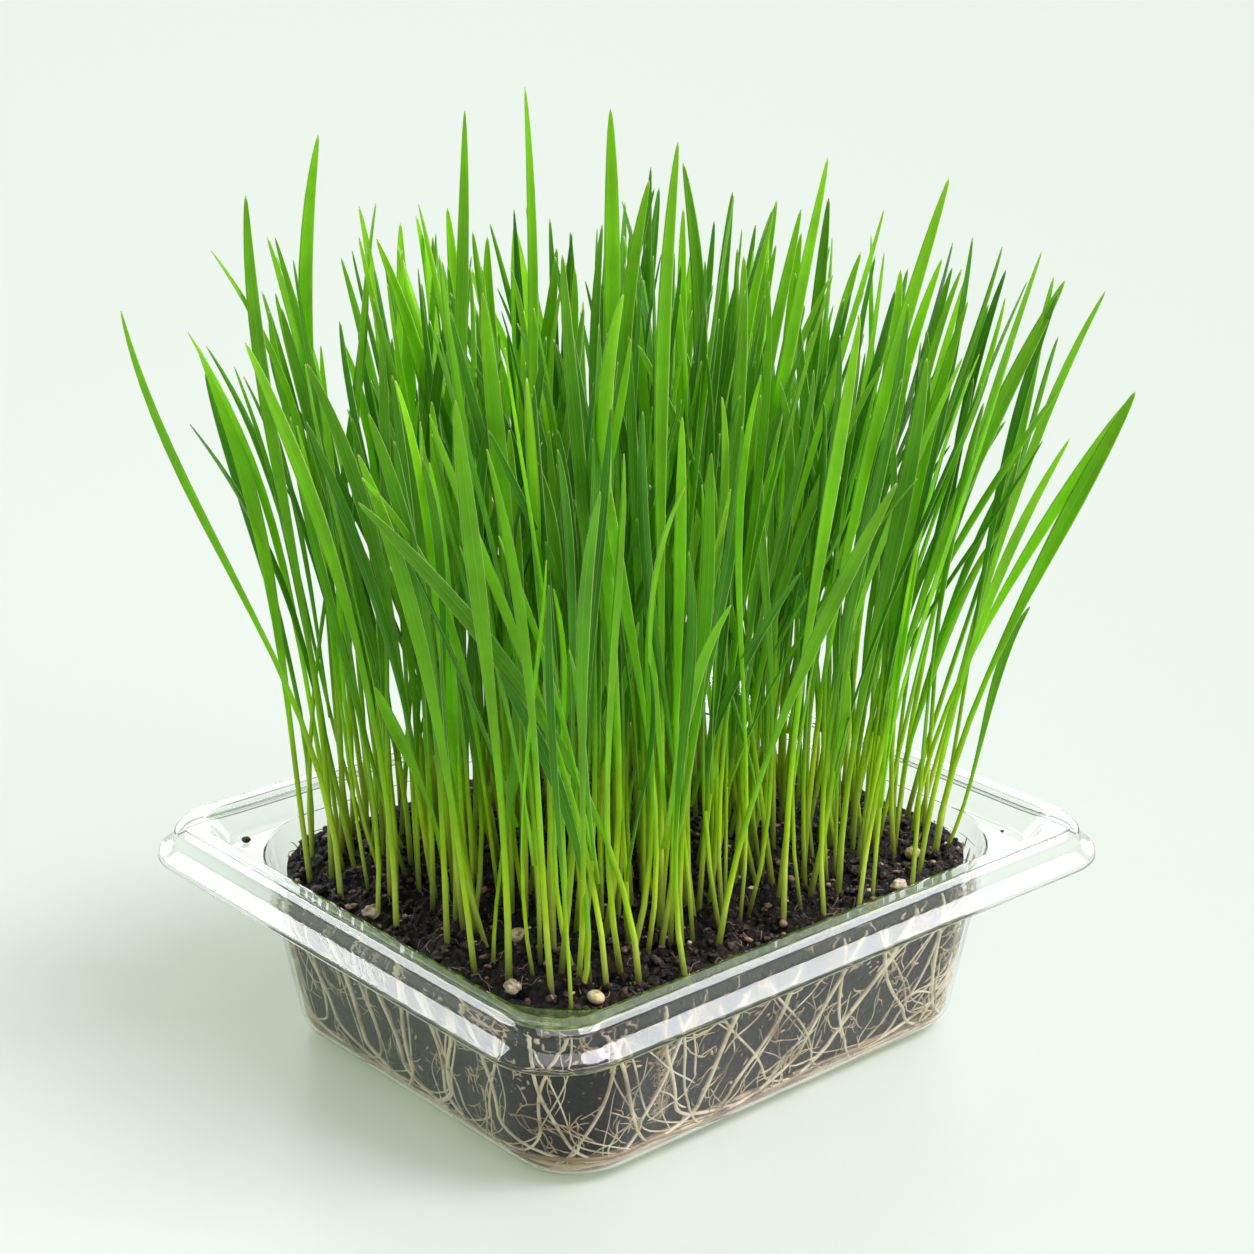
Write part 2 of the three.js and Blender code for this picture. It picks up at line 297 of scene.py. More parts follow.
class Finish:
    """A material in the making, with a Principled shader ready."""

    def __init__(self, name: str, groups: Groups) -> None:
        """Makes the material with an empty node tree.

        Args:
            name: The material's name.
            groups: The shared node groups.
        """
        self.material = bpy.data.materials.new(name)
        self.material.use_nodes = True
        self.material.node_tree.nodes.clear()
        self.board = NodeBoard(self.material.node_tree)
        self.groups = groups
        self.place = self.board.add("ShaderNodeTexCoord").outputs["Object"]
        self.shader = self.board.add("ShaderNodeBsdfPrincipled")
        self.output = self.board.add("ShaderNodeOutputMaterial")

    def set(self, **values: object) -> None:
        """Sets or links the shader's own sockets.

        Args:
            values: Value or socket by the shader's socket name, with an underscore for each space.
        """
        for label, value in values.items():
            socket = self.shader.inputs[label.replace("_", " ")]
            if isinstance(value, bpy.types.NodeSocket):
                self.board.tree.links.new(value, socket)
            else:
                socket.default_value = value

    def mottle(
        self, scale: float, dark: Colour, light: Colour, low: float = 0.35, high: float = 0.65
    ) -> bpy.types.Node:
        """Adds the mottle group with this finish's values.

        Args:
            scale: Patches per metre.
            dark: Colour of the low patches.
            light: Colour of the high patches.
            low: Noise value where the light colour starts.
            high: Noise value where it is full.

        Returns:
            The group node.
        """
        node = self.board.add("ShaderNodeGroup", node_tree=self.groups.mottle)
        self.board.tree.links.new(self.place, node.inputs["Vector"])
        values = {"Scale": scale, "Dark": dark, "Light": light, "Low": low, "High": high}
        for label, value in values.items():
            node.inputs[label].default_value = value
        return node

    def crumble(self, scale: float, strength: float, distance: float) -> None:
        """Adds a crumbly bump.

        Args:
            scale: Crumbs per metre.
            strength: Bump strength.
            distance: Bump height in metres.
        """
        node = self.board.add("ShaderNodeGroup", node_tree=self.groups.crumble)
        self.board.tree.links.new(self.place, node.inputs["Vector"])
        node.inputs["Scale"].default_value = scale
        self.bump(node.outputs[0], strength, distance)

    def bump(self, height: Socket, strength: float, distance: float) -> None:
        """Feeds a height into the shader's normal.

        Args:
            height: The height's socket.
            strength: Bump strength.
            distance: Bump height in metres.
        """
        node = self.board.add(
            "ShaderNodeBump", {"Height": height, "Strength": strength, "Distance": distance}
        )
        self.board.tree.links.new(node.outputs[0], self.shader.inputs["Normal"])

    def show(self, shader: Socket | None = None) -> bpy.types.Material:
        """Joins the shader to the output.

        Args:
            shader: What the surface shows, if it isn't the plain Principled shader.

        Returns:
            The finished material.
        """
        self.board.tree.links.new(shader or self.shader.outputs[0], self.output.inputs["Surface"])
        return self.material


@dataclass(frozen=True)
class ClearSheetFinish:
    """Glossy clear thermoformed sheet with slight waviness."""

    tint: Colour = (0.985, 0.995, 0.99, 1)
    roughness: float = 0.012
    ior: float = 1.32
    shade: Colour = (0.965, 0.975, 0.965, 1)
    waviness: float = 60.0
    wave_strength: float = 0.05
    wave_height: float = 0.001

    def make(self, groups: Groups) -> bpy.types.Material:
        """Builds the material; lamps and scattered light go straight through it.

        Args:
            groups: The shared node groups.

        Returns:
            The material.
        """
        finish = Finish("clear_sheet", groups)
        board = finish.board
        finish.set(
            Base_Color=self.tint,
            Roughness=self.roughness,
            IOR=self.ior,
            Transmission_Weight=1.0,
            Metallic=0.0,
        )
        waves = board.add(
            "ShaderNodeTexNoise", {"Vector": finish.place, "Scale": self.waviness, "Detail": 1.0}
        )
        finish.bump(waves.outputs[0], self.wave_strength, self.wave_height)
        through = board.add("ShaderNodeBsdfTransparent", {"Color": self.shade}).outputs[0]
        path = board.add("ShaderNodeLightPath")
        shown = finish.shader.outputs[0]
        for kind in ("Is Shadow Ray", "Is Diffuse Ray"):
            shown = board.add("ShaderNodeMixShader", {0: path.outputs[kind], 1: shown, 2: through}).outputs[0]
        return finish.show(shown)


@dataclass(frozen=True)
class SoilFinish:
    """Moist, dark, crumbly growing medium, painted near black as shade where it dips."""

    painted_hollow_shade: Colour = (0.0008, 0.0005, 0.0004, 1)
    dark: Colour = (0.0045, 0.0026, 0.0019, 1)
    light: Colour = (0.034, 0.019, 0.0135, 1)
    fleck: Colour = (0.3, 0.17, 0.12, 1)
    scale: float = 330.0
    flecks: float = 1000.0
    bare_share: float = 0.86
    crumb_height: float = 0.0007

    def make(self, groups: Groups) -> bpy.types.Material:
        """Builds the material, which reads how far each point of the block is raised and paints the low
        points near black as shade.

        Args:
            groups: The shared node groups.

        Returns:
            The material.
        """
        finish = Finish("soil_dark", groups)
        board = finish.board
        ground = finish.mottle(self.scale, self.dark, self.light, 0.4, 0.66)
        raised = board.add("ShaderNodeAttribute", attribute_name="raised").outputs["Fac"]
        # Painted shade: the block's low points, and most of its sides, take the near-black colour.
        colour = board.blend(board.window(raised, 0.3, 0.7), self.painted_hollow_shade, ground.outputs[0])
        cells = board.add("ShaderNodeTexVoronoi", {"Vector": finish.place, "Scale": self.flecks})
        near = board.window(cells.outputs["Distance"], 0.12, 0.3, 1.0, 0.0)
        pick = board.add("ShaderNodeSeparateColor", {0: cells.outputs["Color"]}).outputs[0]
        chosen = board.math("GREATER_THAN", pick, self.bare_share)
        colour = board.blend(board.math("MULTIPLY", near, chosen), colour, self.fleck)
        rough = board.window(ground.outputs["Mask"], 0.0, 1.0, 0.45, 0.85)
        finish.set(Base_Color=colour, Roughness=rough, Specular_IOR_Level=0.12)
        finish.crumble(self.flecks, 1.0, self.crumb_height)
        return finish.show()


@dataclass(frozen=True)
class CrumbFinish:
    """Loose crumbs of the growing medium, whose small light patches are reddish-brown crumb colour and also
    stand in for painted highlights.
    """

    dark: Colour = (0.005, 0.003, 0.0022, 1)
    light: Colour = (0.19, 0.108, 0.082, 1)
    scale: float = 420.0

    def make(self, groups: Groups) -> bpy.types.Material:
        """Builds the material.

        Args:
            groups: The shared node groups.

        Returns:
            The material.
        """
        finish = Finish("soil_crumb", groups)
        # The light patches are kept small: real crumb colour that also serves as painted highlights.
        ground = finish.mottle(self.scale, self.dark, self.light, 0.46, 0.72)
        rough = finish.board.window(ground.outputs["Mask"], 0.0, 1.0, 0.45, 0.85)
        finish.set(Base_Color=ground.outputs[0], Roughness=rough, Specular_IOR_Level=0.2)
        finish.crumble(1300.0, 1.0, 0.0005)
        return finish.show()


@dataclass(frozen=True)
class RootFinish:
    """Cream to tan living root, browner in patches."""

    name: str = "root_cream"
    dark: Colour = (0.4, 0.28, 0.16, 1)
    light: Colour = (0.78, 0.66, 0.48, 1)
    scale: float = 110.0

    def make(self, groups: Groups) -> bpy.types.Material:
        """Builds the material.

        Args:
            groups: The shared node groups.

        Returns:
            The material.
        """
        finish = Finish(self.name, groups)
        tone = finish.mottle(self.scale, self.dark, self.light, 0.3, 0.56)
        finish.set(Base_Color=tone.outputs[0], Roughness=0.6)
        finish.set(Subsurface_Weight=0.15, Subsurface_Radius=(0.001, 0.0008, 0.0005))
        finish.crumble(1500.0, 0.35, 0.0002)
        return finish.show()


@dataclass(frozen=True)
class GrainFinish:
    """Dry husk, chip or perlite: a pale body with pits, stained brown where the piece says so."""

    name: str
    dark: Colour
    light: Colour
    scale: float = 500.0
    roughness: float = 0.75
    stain: Colour = (0.16, 0.06, 0.015, 1)

    def make(self, groups: Groups) -> bpy.types.Material:
        """Builds the material.

        Args:
            groups: The shared node groups.

        Returns:
            The material.
        """
        finish = Finish(self.name, groups)
        tone = finish.mottle(self.scale, self.dark, self.light, 0.34, 0.6)
        rough = finish.board.window(tone.outputs["Mask"], 0, 1, self.roughness + 0.15, self.roughness - 0.1)
        stained = finish.board.add("ShaderNodeAttribute", attribute_name="stain").outputs["Fac"]
        uneven = finish.board.math("MULTIPLY_ADD", tone.outputs["Mask"], -0.45, stained)
        colour = finish.board.blend(finish.board.window(uneven, 0.08, 0.45), tone.outputs[0], self.stain)
        finish.set(Base_Color=colour, Roughness=rough)
        finish.crumble(1800.0, 0.55, 0.00025)
        return finish.show()


@dataclass(frozen=True)
class LeafFinish:
    """Living blade: pale sheath, vivid green above, fine veins, painted highlights along its edges, light
    through the thin blade.
    """

    young: tuple[tuple[float, Colour], ...] = (
        (0.0, (0.78, 0.74, 0.36, 1)),
        (0.03, (0.74, 0.84, 0.2, 1)),
        (0.15, (0.66, 0.9, 0.03, 1)),
        (0.40, (0.43, 0.9, 0.003, 1)),
        (0.75, (0.36, 0.84, 0.003, 1)),
        (1.0, (0.48, 0.9, 0.006, 1)),
    )
    deep: tuple[tuple[float, Colour], ...] = (
        (0.0, (0.72, 0.66, 0.32, 1)),
        (0.03, (0.64, 0.76, 0.15, 1)),
        (0.15, (0.46, 0.74, 0.01, 1)),
        (0.40, (0.1, 0.41, 0.002, 1)),
        (0.75, (0.03, 0.27, 0.006, 1)),
        (1.0, (0.08, 0.38, 0.01, 1)),
    )
    vein: Colour = (0.42, 0.76, 0.08, 1)
    # rim is a painted highlight: a pale line laid along both edges of the blade.
    rim: Colour = (0.8, 0.95, 0.5, 1)
    rib: Colour = (0.44, 0.78, 0.14, 1)
    dry_tip: Colour = (0.6, 0.66, 0.2, 1)
    lit_through: Colour = (1.5, 1.35, 0.3, 1)
    veins: float = 9.0
    vein_height: float = 0.00012
    through_stem: float = 0.12
    through: float = 0.4

    def body(self, finish: Finish, along: Socket, tone: Socket) -> Socket:
        """Colours the shoot from its pale foot to its tip, in soft patches.

        Args:
            finish: The finish in the making.
            along: Share of the shoot's length.
            tone: How deep this shoot's green is.

        Returns:
            The colour.
        """
        board = finish.board
        colour = board.blend(tone, board.ramp(along, self.young), board.ramp(along, self.deep))
        patches = finish.mottle(70.0, (0.82, 0.84, 0.7, 1), (1.12, 1.1, 1.0, 1), 0.3, 0.7)
        return board.blend(1.0, colour, patches.outputs[0], "MULTIPLY")

    def mark(self, board: NodeBoard, colour: Socket, mask: Socket, share: float, paint: Colour) -> Socket:
        """Lays a mark over a colour.

        Args:
            board: The material's nodes.
            colour: What lies under the mark.
            mask: Where the mark is.
            share: How much of it shows.
            paint: The mark's colour.

        Returns:
            The marked colour.
        """
        return board.blend(board.math("MULTIPLY", mask, share), colour, paint)

    def make(self, groups: Groups) -> bpy.types.Material:
        """Builds the material, which reads the shoots' own along, across and tone values.

        Args:
            groups: The shared node groups.

        Returns:
            The material.
        """
        finish = Finish("wheat_leaf", groups)
        board = finish.board
        along, across, tone = (
            board.add("ShaderNodeAttribute", attribute_name=name).outputs["Fac"]
            for name in ("along", "across", "tone")
        )
        wave = board.math("SINE", board.math("MULTIPLY", across, self.veins * math.tau))
        stripe = board.math("MULTIPLY_ADD", wave, 0.5, 0.5)
        blade = board.window(along, 0.2, 0.4)
        from_middle = board.math("ABSOLUTE", board.math("SUBTRACT", across, 0.5))
        rib = board.math("MULTIPLY", board.window(from_middle, 0.015, 0.05, 1.0, 0.0), blade)
        # Mask of the painted highlight along the blade's two edges.
        rim = board.math("MULTIPLY", board.window(from_middle, 0.44, 0.49), blade)
        colour = self.body(finish, along, tone)
        colour = self.mark(board, colour, board.math("MULTIPLY", stripe, blade), 0.24, self.vein)
        # Lays the painted edge highlight over the blade's colour.
        colour = self.mark(board, colour, rim, 0.85, self.rim)
        colour = self.mark(board, colour, rib, 0.35, self.rib)
        colour = self.mark(board, colour, board.window(along, 0.985, 1.0), 0.5, self.dry_tip)
        finish.set(Base_Color=colour, Roughness=board.window(stripe, 0, 1, 0.3, 0.4), Specular_IOR_Level=0.3)
        finish.bump(board.math("MULTIPLY_ADD", rib, -1.5, stripe), 0.3, self.vein_height)
        glow = board.blend(1.0, colour, self.lit_through, "MULTIPLY")
        through = board.add("ShaderNodeBsdfTranslucent", {"Color": glow})
        thinness = board.window(along, 0.1, 0.35, self.through_stem, self.through)
        mix = board.add(
            "ShaderNodeMixShader", {0: thinness, 1: finish.shader.outputs[0], 2: through.outputs[0]}
        )
        return finish.show(mix.outputs[0])


@dataclass(frozen=True)
class FloorFinish:
    """Plain pale floor, lit evenly from below so that shadows on it stay faint."""

    colour: Colour = (0.486, 0.489, 0.524, 1)
    glow: Colour = (0.24, 0.3, 0.21, 1)

    def make(self, groups: Groups) -> bpy.types.Material:
        """Builds the material.

        Args:
            groups: The shared node groups.

        Returns:
            The material.
        """
        finish = Finish("pale_floor", groups)
        finish.set(Base_Color=self.colour, Roughness=0.35, Specular_IOR_Level=0.8)
        finish.set(Emission_Color=self.glow, Emission_Strength=1.0)
        return finish.show()


# ---------------------------------------------------------------- shape helpers


@dataclass(frozen=True)
class RoundedBox:
    """A rectangle with rounded corners about the origin, in metres."""

    half_x: float
    half_y: float
    corner: float

    def distance(self, x: float, y: float) -> float:
        """Measures how far a point is outside the outline.

        Args:
            x: Point's x.
            y: Point's y.

        Returns:
            The distance, negative inside.
        """
        qx = abs(x) - (self.half_x - self.corner)
        qy = abs(y) - (self.half_y - self.corner)
        outside = math.hypot(max(qx, 0.0), max(qy, 0.0))
        return outside + min(max(qx, qy), 0.0) - self.corner

    def nearest(self, x: float, y: float) -> tuple[float, float]:
        """Returns the outline's point nearest to a point.

        Args:
            x: Point's x.
            y: Point's y.

        Returns:
            x and y on the outline.
        """
        qx = abs(x) - (self.half_x - self.corner)
        qy = abs(y) - (self.half_y - self.corner)
        if qx > 0 and qy > 0:
            reach = math.hypot(qx, qy)
            nx = self.half_x - self.corner + qx / reach * self.corner
            ny = self.half_y - self.corner + qy / reach * self.corner
        elif qx > qy:
            nx, ny = self.half_x, abs(y)
        else:
            nx, ny = abs(x), self.half_y
        return math.copysign(nx, x), math.copysign(ny, y)

    def ring(self, count: int, z: float, lead: float = 1.2 * MM) -> list[Vector]:
        """Returns points round the outline: as many at each corner, and one on the straight at each end.

        Args:
            count: Points in all, a multiple of four.
            z: Their height.
            lead: How far along the straight the end points stand from the arc.

        Returns:
            The points in order, anticlockwise from +X.
        """
        each = count // 4
        points = []
        for i in range(count):
            quarter, step = divmod(i, each)
            share = min(max((step - 1) / (each - 3), 0.0), 1.0)
            angle = math.pi / 2 * (quarter + share)
            beyond = lead * ((step == each - 1) - (step == 0))
            sx = 1 if quarter in (0, 3) else -1
            sy = 1 if quarter < 2 else -1
            along = Vector((-math.sin(angle), math.cos(angle), 0)) * beyond
            centre = Vector((sx * (self.half_x - self.corner), sy * (self.half_y - self.corner), z))
            points.append(centre + Vector((math.cos(angle), math.sin(angle), 0)) * self.corner + along)
        return points

    def at(self, turn: float) -> tuple[float, float]:
        """Returns the outline's point a share of the way round.

        Args:
            turn: Share of the whole way round, from +X anticlockwise.

        Returns:
            x and y on the outline.
        """
        straight_x, straight_y = self.half_x - self.corner, self.half_y - self.corner
        arc = self.corner * math.pi / 2
        quarter_length = straight_x + straight_y + arc
        quarter, s = divmod((turn % 1.0) * 4 * quarter_length, quarter_length)
        quarter = int(quarter) % 4
        if quarter % 2:
            s = quarter_length - s
        if s < straight_y:
            x, y = self.half_x, s
        elif s < straight_y + arc:
            a = (s - straight_y) / self.corner
            x, y = straight_x + self.corner * math.cos(a), straight_y + self.corner * math.sin(a)
        else:
            x, y = straight_x - (s - straight_y - arc), self.half_y
        return (x if quarter in (0, 3) else -x), (y if quarter < 2 else -y)


def smooth_step(share: float) -> float:
    """Returns a share eased in and out, held between 0 and 1."""
    held = min(max(share, 0.0), 1.0)
    return held * held * (3 - 2 * held)


def pull_ring(bm: bmesh.types.BMesh, ring: Ring, places: Sequence[Vector]) -> Ring:
    """Extrudes a closed ring of vertices and sets the new ring down on given places.

    Args:
        bm: The mesh.
        ring: The ring's vertices in order.
        places: Where the new vertices go, in the same order.

    Returns:
        The new ring in order.
    """
    edges = [bm.edges.get((a, b)) for a, b in zip(ring, ring[1:] + ring[:1])]
    made = bmesh.ops.extrude_edge_only(bm, edges=edges)["geom"]
    fresh = {item for item in made if isinstance(item, bmesh.types.BMVert)}
    following = [next(e.other_vert(v) for e in v.link_edges if e.other_vert(v) in fresh) for v in ring]
    for vert, place in zip(following, places):
        vert.co = place
    return following


def close_ring(bm: bmesh.types.BMesh, ring: Ring) -> None:
    """Fills a closed ring with one face."""
    edges = [bm.edges.get((a, b)) for a, b in zip(ring, ring[1:] + ring[:1])]
    bmesh.ops.contextual_create(bm, geom=edges)


def finish_piece(
    bm: bmesh.types.BMesh,
    name: str,
    materials: Sequence[bpy.types.Material],
    replaces: Sequence[str] = (),
    recalculate: bool = True,
) -> bpy.types.Object:
    """Turns a bmesh into a shown piece of the object.

    Args:
        bm: The mesh, which is freed.
        name: The piece's name.
        materials: Its materials, by face material index.
        replaces: CAD nodes that the piece stands for.
        recalculate: Whether to turn all faces outward first.

    Returns:
        The new object.
    """
    if recalculate:
        bmesh.ops.recalc_face_normals(bm, faces=bm.faces[:])
    for face in bm.faces:
        face.smooth = True
    mesh = bpy.data.meshes.new(name)
    bm.to_mesh(mesh)
    bm.free()
    return place_piece(mesh, name, materials, replaces)


def place_piece(
    mesh: bpy.types.Mesh,
    name: str,
    materials: Sequence[bpy.types.Material],
    replaces: Sequence[str] = (),
) -> bpy.types.Object:
    """Adds a mesh to the scene as a piece that rides on the object's body.

    Args:
        mesh: The finished mesh.
        name: The piece's name.
        materials: Its materials.
        replaces: CAD nodes that the piece stands for.

    Returns:
        The new object.
    """
    piece = bpy.data.objects.new(name, mesh)
    bpy.context.scene.collection.objects.link(piece)
    for material in materials:
        mesh.materials.append(material)
    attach(piece, BODY)
    if replaces:
        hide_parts(*replaces)
    LOG.info("%s: %d faces", name, len(mesh.polygons))
    return piece


def tube_mesh(name: str, courses: Sequence[Course], sides: int) -> bpy.types.Mesh:
    """Turns lines into closed tubes.

    Args:
        name: The mesh's name.
        courses: Each tube's points in metres, with the radius there in millimetres.
        sides: The tubes' bevel resolution.

    Returns:
        The mesh.
    """
    curve = bpy.data.curves.new(name, "CURVE")
    curve.dimensions = "3D"
    curve.bevel_depth = MM
    curve.bevel_resolution = sides
    curve.use_fill_caps = True
    for course in courses:
        spline = curve.splines.new("POLY")
        spline.points.add(len(course) - 1)
        for point, (place, radius) in zip(spline.points, course):
            point.co = (*place, 1)
            point.radius = radius
    holder = bpy.data.objects.new(name, curve)
    mesh = bpy.data.meshes.new_from_object(holder)
    bpy.data.objects.remove(holder)
    bpy.data.curves.remove(curve)
    for polygon in mesh.polygons:
        polygon.use_smooth = True
    mesh.materials.clear()
    return mesh


# ---------------------------------------------------------------- tray


@dataclass(frozen=True)
class Level:
    """One line round the sheet, in millimetres.

    inset is measured in from the lip, and soft is how widely the fold there is rounded.
    """

    inset: float
    z: float
    corner: float
    soft: float = 0.0


@dataclass
class TraySheet:
    """The clear thermoformed tray."""

    length: float
    width: float
    sheet: float = 0.6
    columns: int = 104
    floor_middle: tuple[float, float] = (30.0, 8.0)
    floor_inset: float = 25.8
    floor_z: float = 6.6
    floor_radius: float = 6.0
    round_heights: tuple[float, ...] = (0.72, 1.1, 1.7, 2.6, 3.9, 5.2)
    foot: Level = Level(19.85, 6.2, 15.0)
    mouth: Level = Level(12.9, 39.9, 24.0, 0.6)
    rim: tuple[Level, ...] = (
        Level(11.6, 39.95, 9.4, 0.5),
        Level(9.0, 44.2, 10.2, 0.5),
        Level(8.0, 44.7, 10.8, 0.4),
        Level(4.9, 44.7, 11.2, 0.4),
        Level(3.6, 43.5, 11.8, 0.45),
        Level(3.1, 41.3, 12.2, 0.3),
        Level(2.6, 40.8, 12.6, 0.2),
        Level(1.0, 39.6, 14.4, 0.4),
        Level(0.25, 39.2, 15.1, 0.25),
        Level(0.0, 38.3, 15.4),
    )
    fold_steps: int = 4
    support: float = 0.25

    def box(self, level: Level) -> RoundedBox:
        """Works out the outline at a level.

        Args:
            level: The level, in millimetres.

        Returns:
            The outline in metres.
        """
        half_x = self.length / 2 - level.inset
        half_y = self.width / 2 - level.inset
        return RoundedBox(half_x * MM, half_y * MM, level.corner * MM)

    def wall(self, z: float) -> Level:
        """Returns the well wall's inner line at a height.

        Args:
            z: Height in millimetres.

        Returns:
            The wall's level there, or the rounded foot's below it.
        """
        if z < self.floor_z:
            drop = min(self.floor_z - z, self.floor_radius * 0.98)
            inset = self.floor_inset - math.sqrt(self.floor_radius**2 - drop**2)
            return Level(inset, z, self.foot.corner - (inset - self.foot.inset))
        return self.between(self.foot, self.mouth, (z - self.foot.z) / (self.mouth.z - self.foot.z))

    def between(self, first: Level, second: Level, share: float) -> Level:
        """Returns the unfolded level a share of the way from one level to another."""
        pairs = zip((first.inset, first.z, first.corner), (second.inset, second.z, second.corner))
        return Level(*(a + (b - a) * share for a, b in pairs))

    def face_levels(self) -> list[Level]:
        """Returns the levels of the sheet's upper face, from the floor out to the lip.

        Each flat stretch has a plain line close to each of its folds, which keeps it flat in smooth shading.

        Returns:
            The levels in order.
        """
        folds = [*[self.wall(z) for z in self.round_heights], self.foot, self.mouth, *self.rim]
        levels = [folds[0]]
        for first, second in zip(folds, folds[1:]):
            run = math.hypot(second.inset - first.inset, second.z - first.z)
            near, far = (first.soft + self.support) / run, 1 - (second.soft + self.support) / run
            if near < far and run > 2.0:
                levels += [self.between(first, second, near), self.between(first, second, far)]
            levels.append(second)
        return levels

    def build(self, material: bpy.types.Material) -> bpy.types.Object:
        """Models the sheet: rings pulled out from the floor, softened along their folds, then thickened.

        Args:
            material: The clear sheet.

        Returns:
            The tray piece.
        """
        bm = bmesh.new()
        ring = bmesh.ops.create_circle(bm, segments=self.columns, radius=0.01)["verts"]
        inset, corner = self.floor_middle
        floor = self.box(Level(inset, self.sheet, corner))
        for vert, place in zip(ring, floor.ring(self.columns, self.sheet * MM)):
            vert.co = place
        close_ring(bm, ring)
        folds = []
        for level in self.face_levels():
            ring = pull_ring(bm, ring, self.box(level).ring(self.columns, level.z * MM))
            if level.soft:
                folds.append((level.soft, [bm.edges.get((a, b)) for a, b in zip(ring, ring[1:] + ring[:1])]))
        for soft, edges in folds:
            bmesh.ops.bevel(
                bm,
                geom=edges,
                offset=soft * MM,
                affect="EDGES",
                segments=self.fold_steps,
                profile=0.5,
                material=-1,
                clamp_overlap=True,
            )
        bmesh.ops.recalc_face_normals(bm, faces=bm.faces[:])
        if max(bm.faces, key=lambda face: len(face.verts)).normal.z < 0:
            bmesh.ops.reverse_faces(bm, faces=bm.faces[:])
        tray = finish_piece(bm, "tray_clear", [material], ["tray"], recalculate=False)
        thicken = tray.modifiers.new("sheet", "SOLIDIFY")
        thicken.thickness = self.sheet * MM
        thicken.offset = -1.0
        thicken.use_even_offset = True
        return tray


# ---------------------------------------------------------------- soil


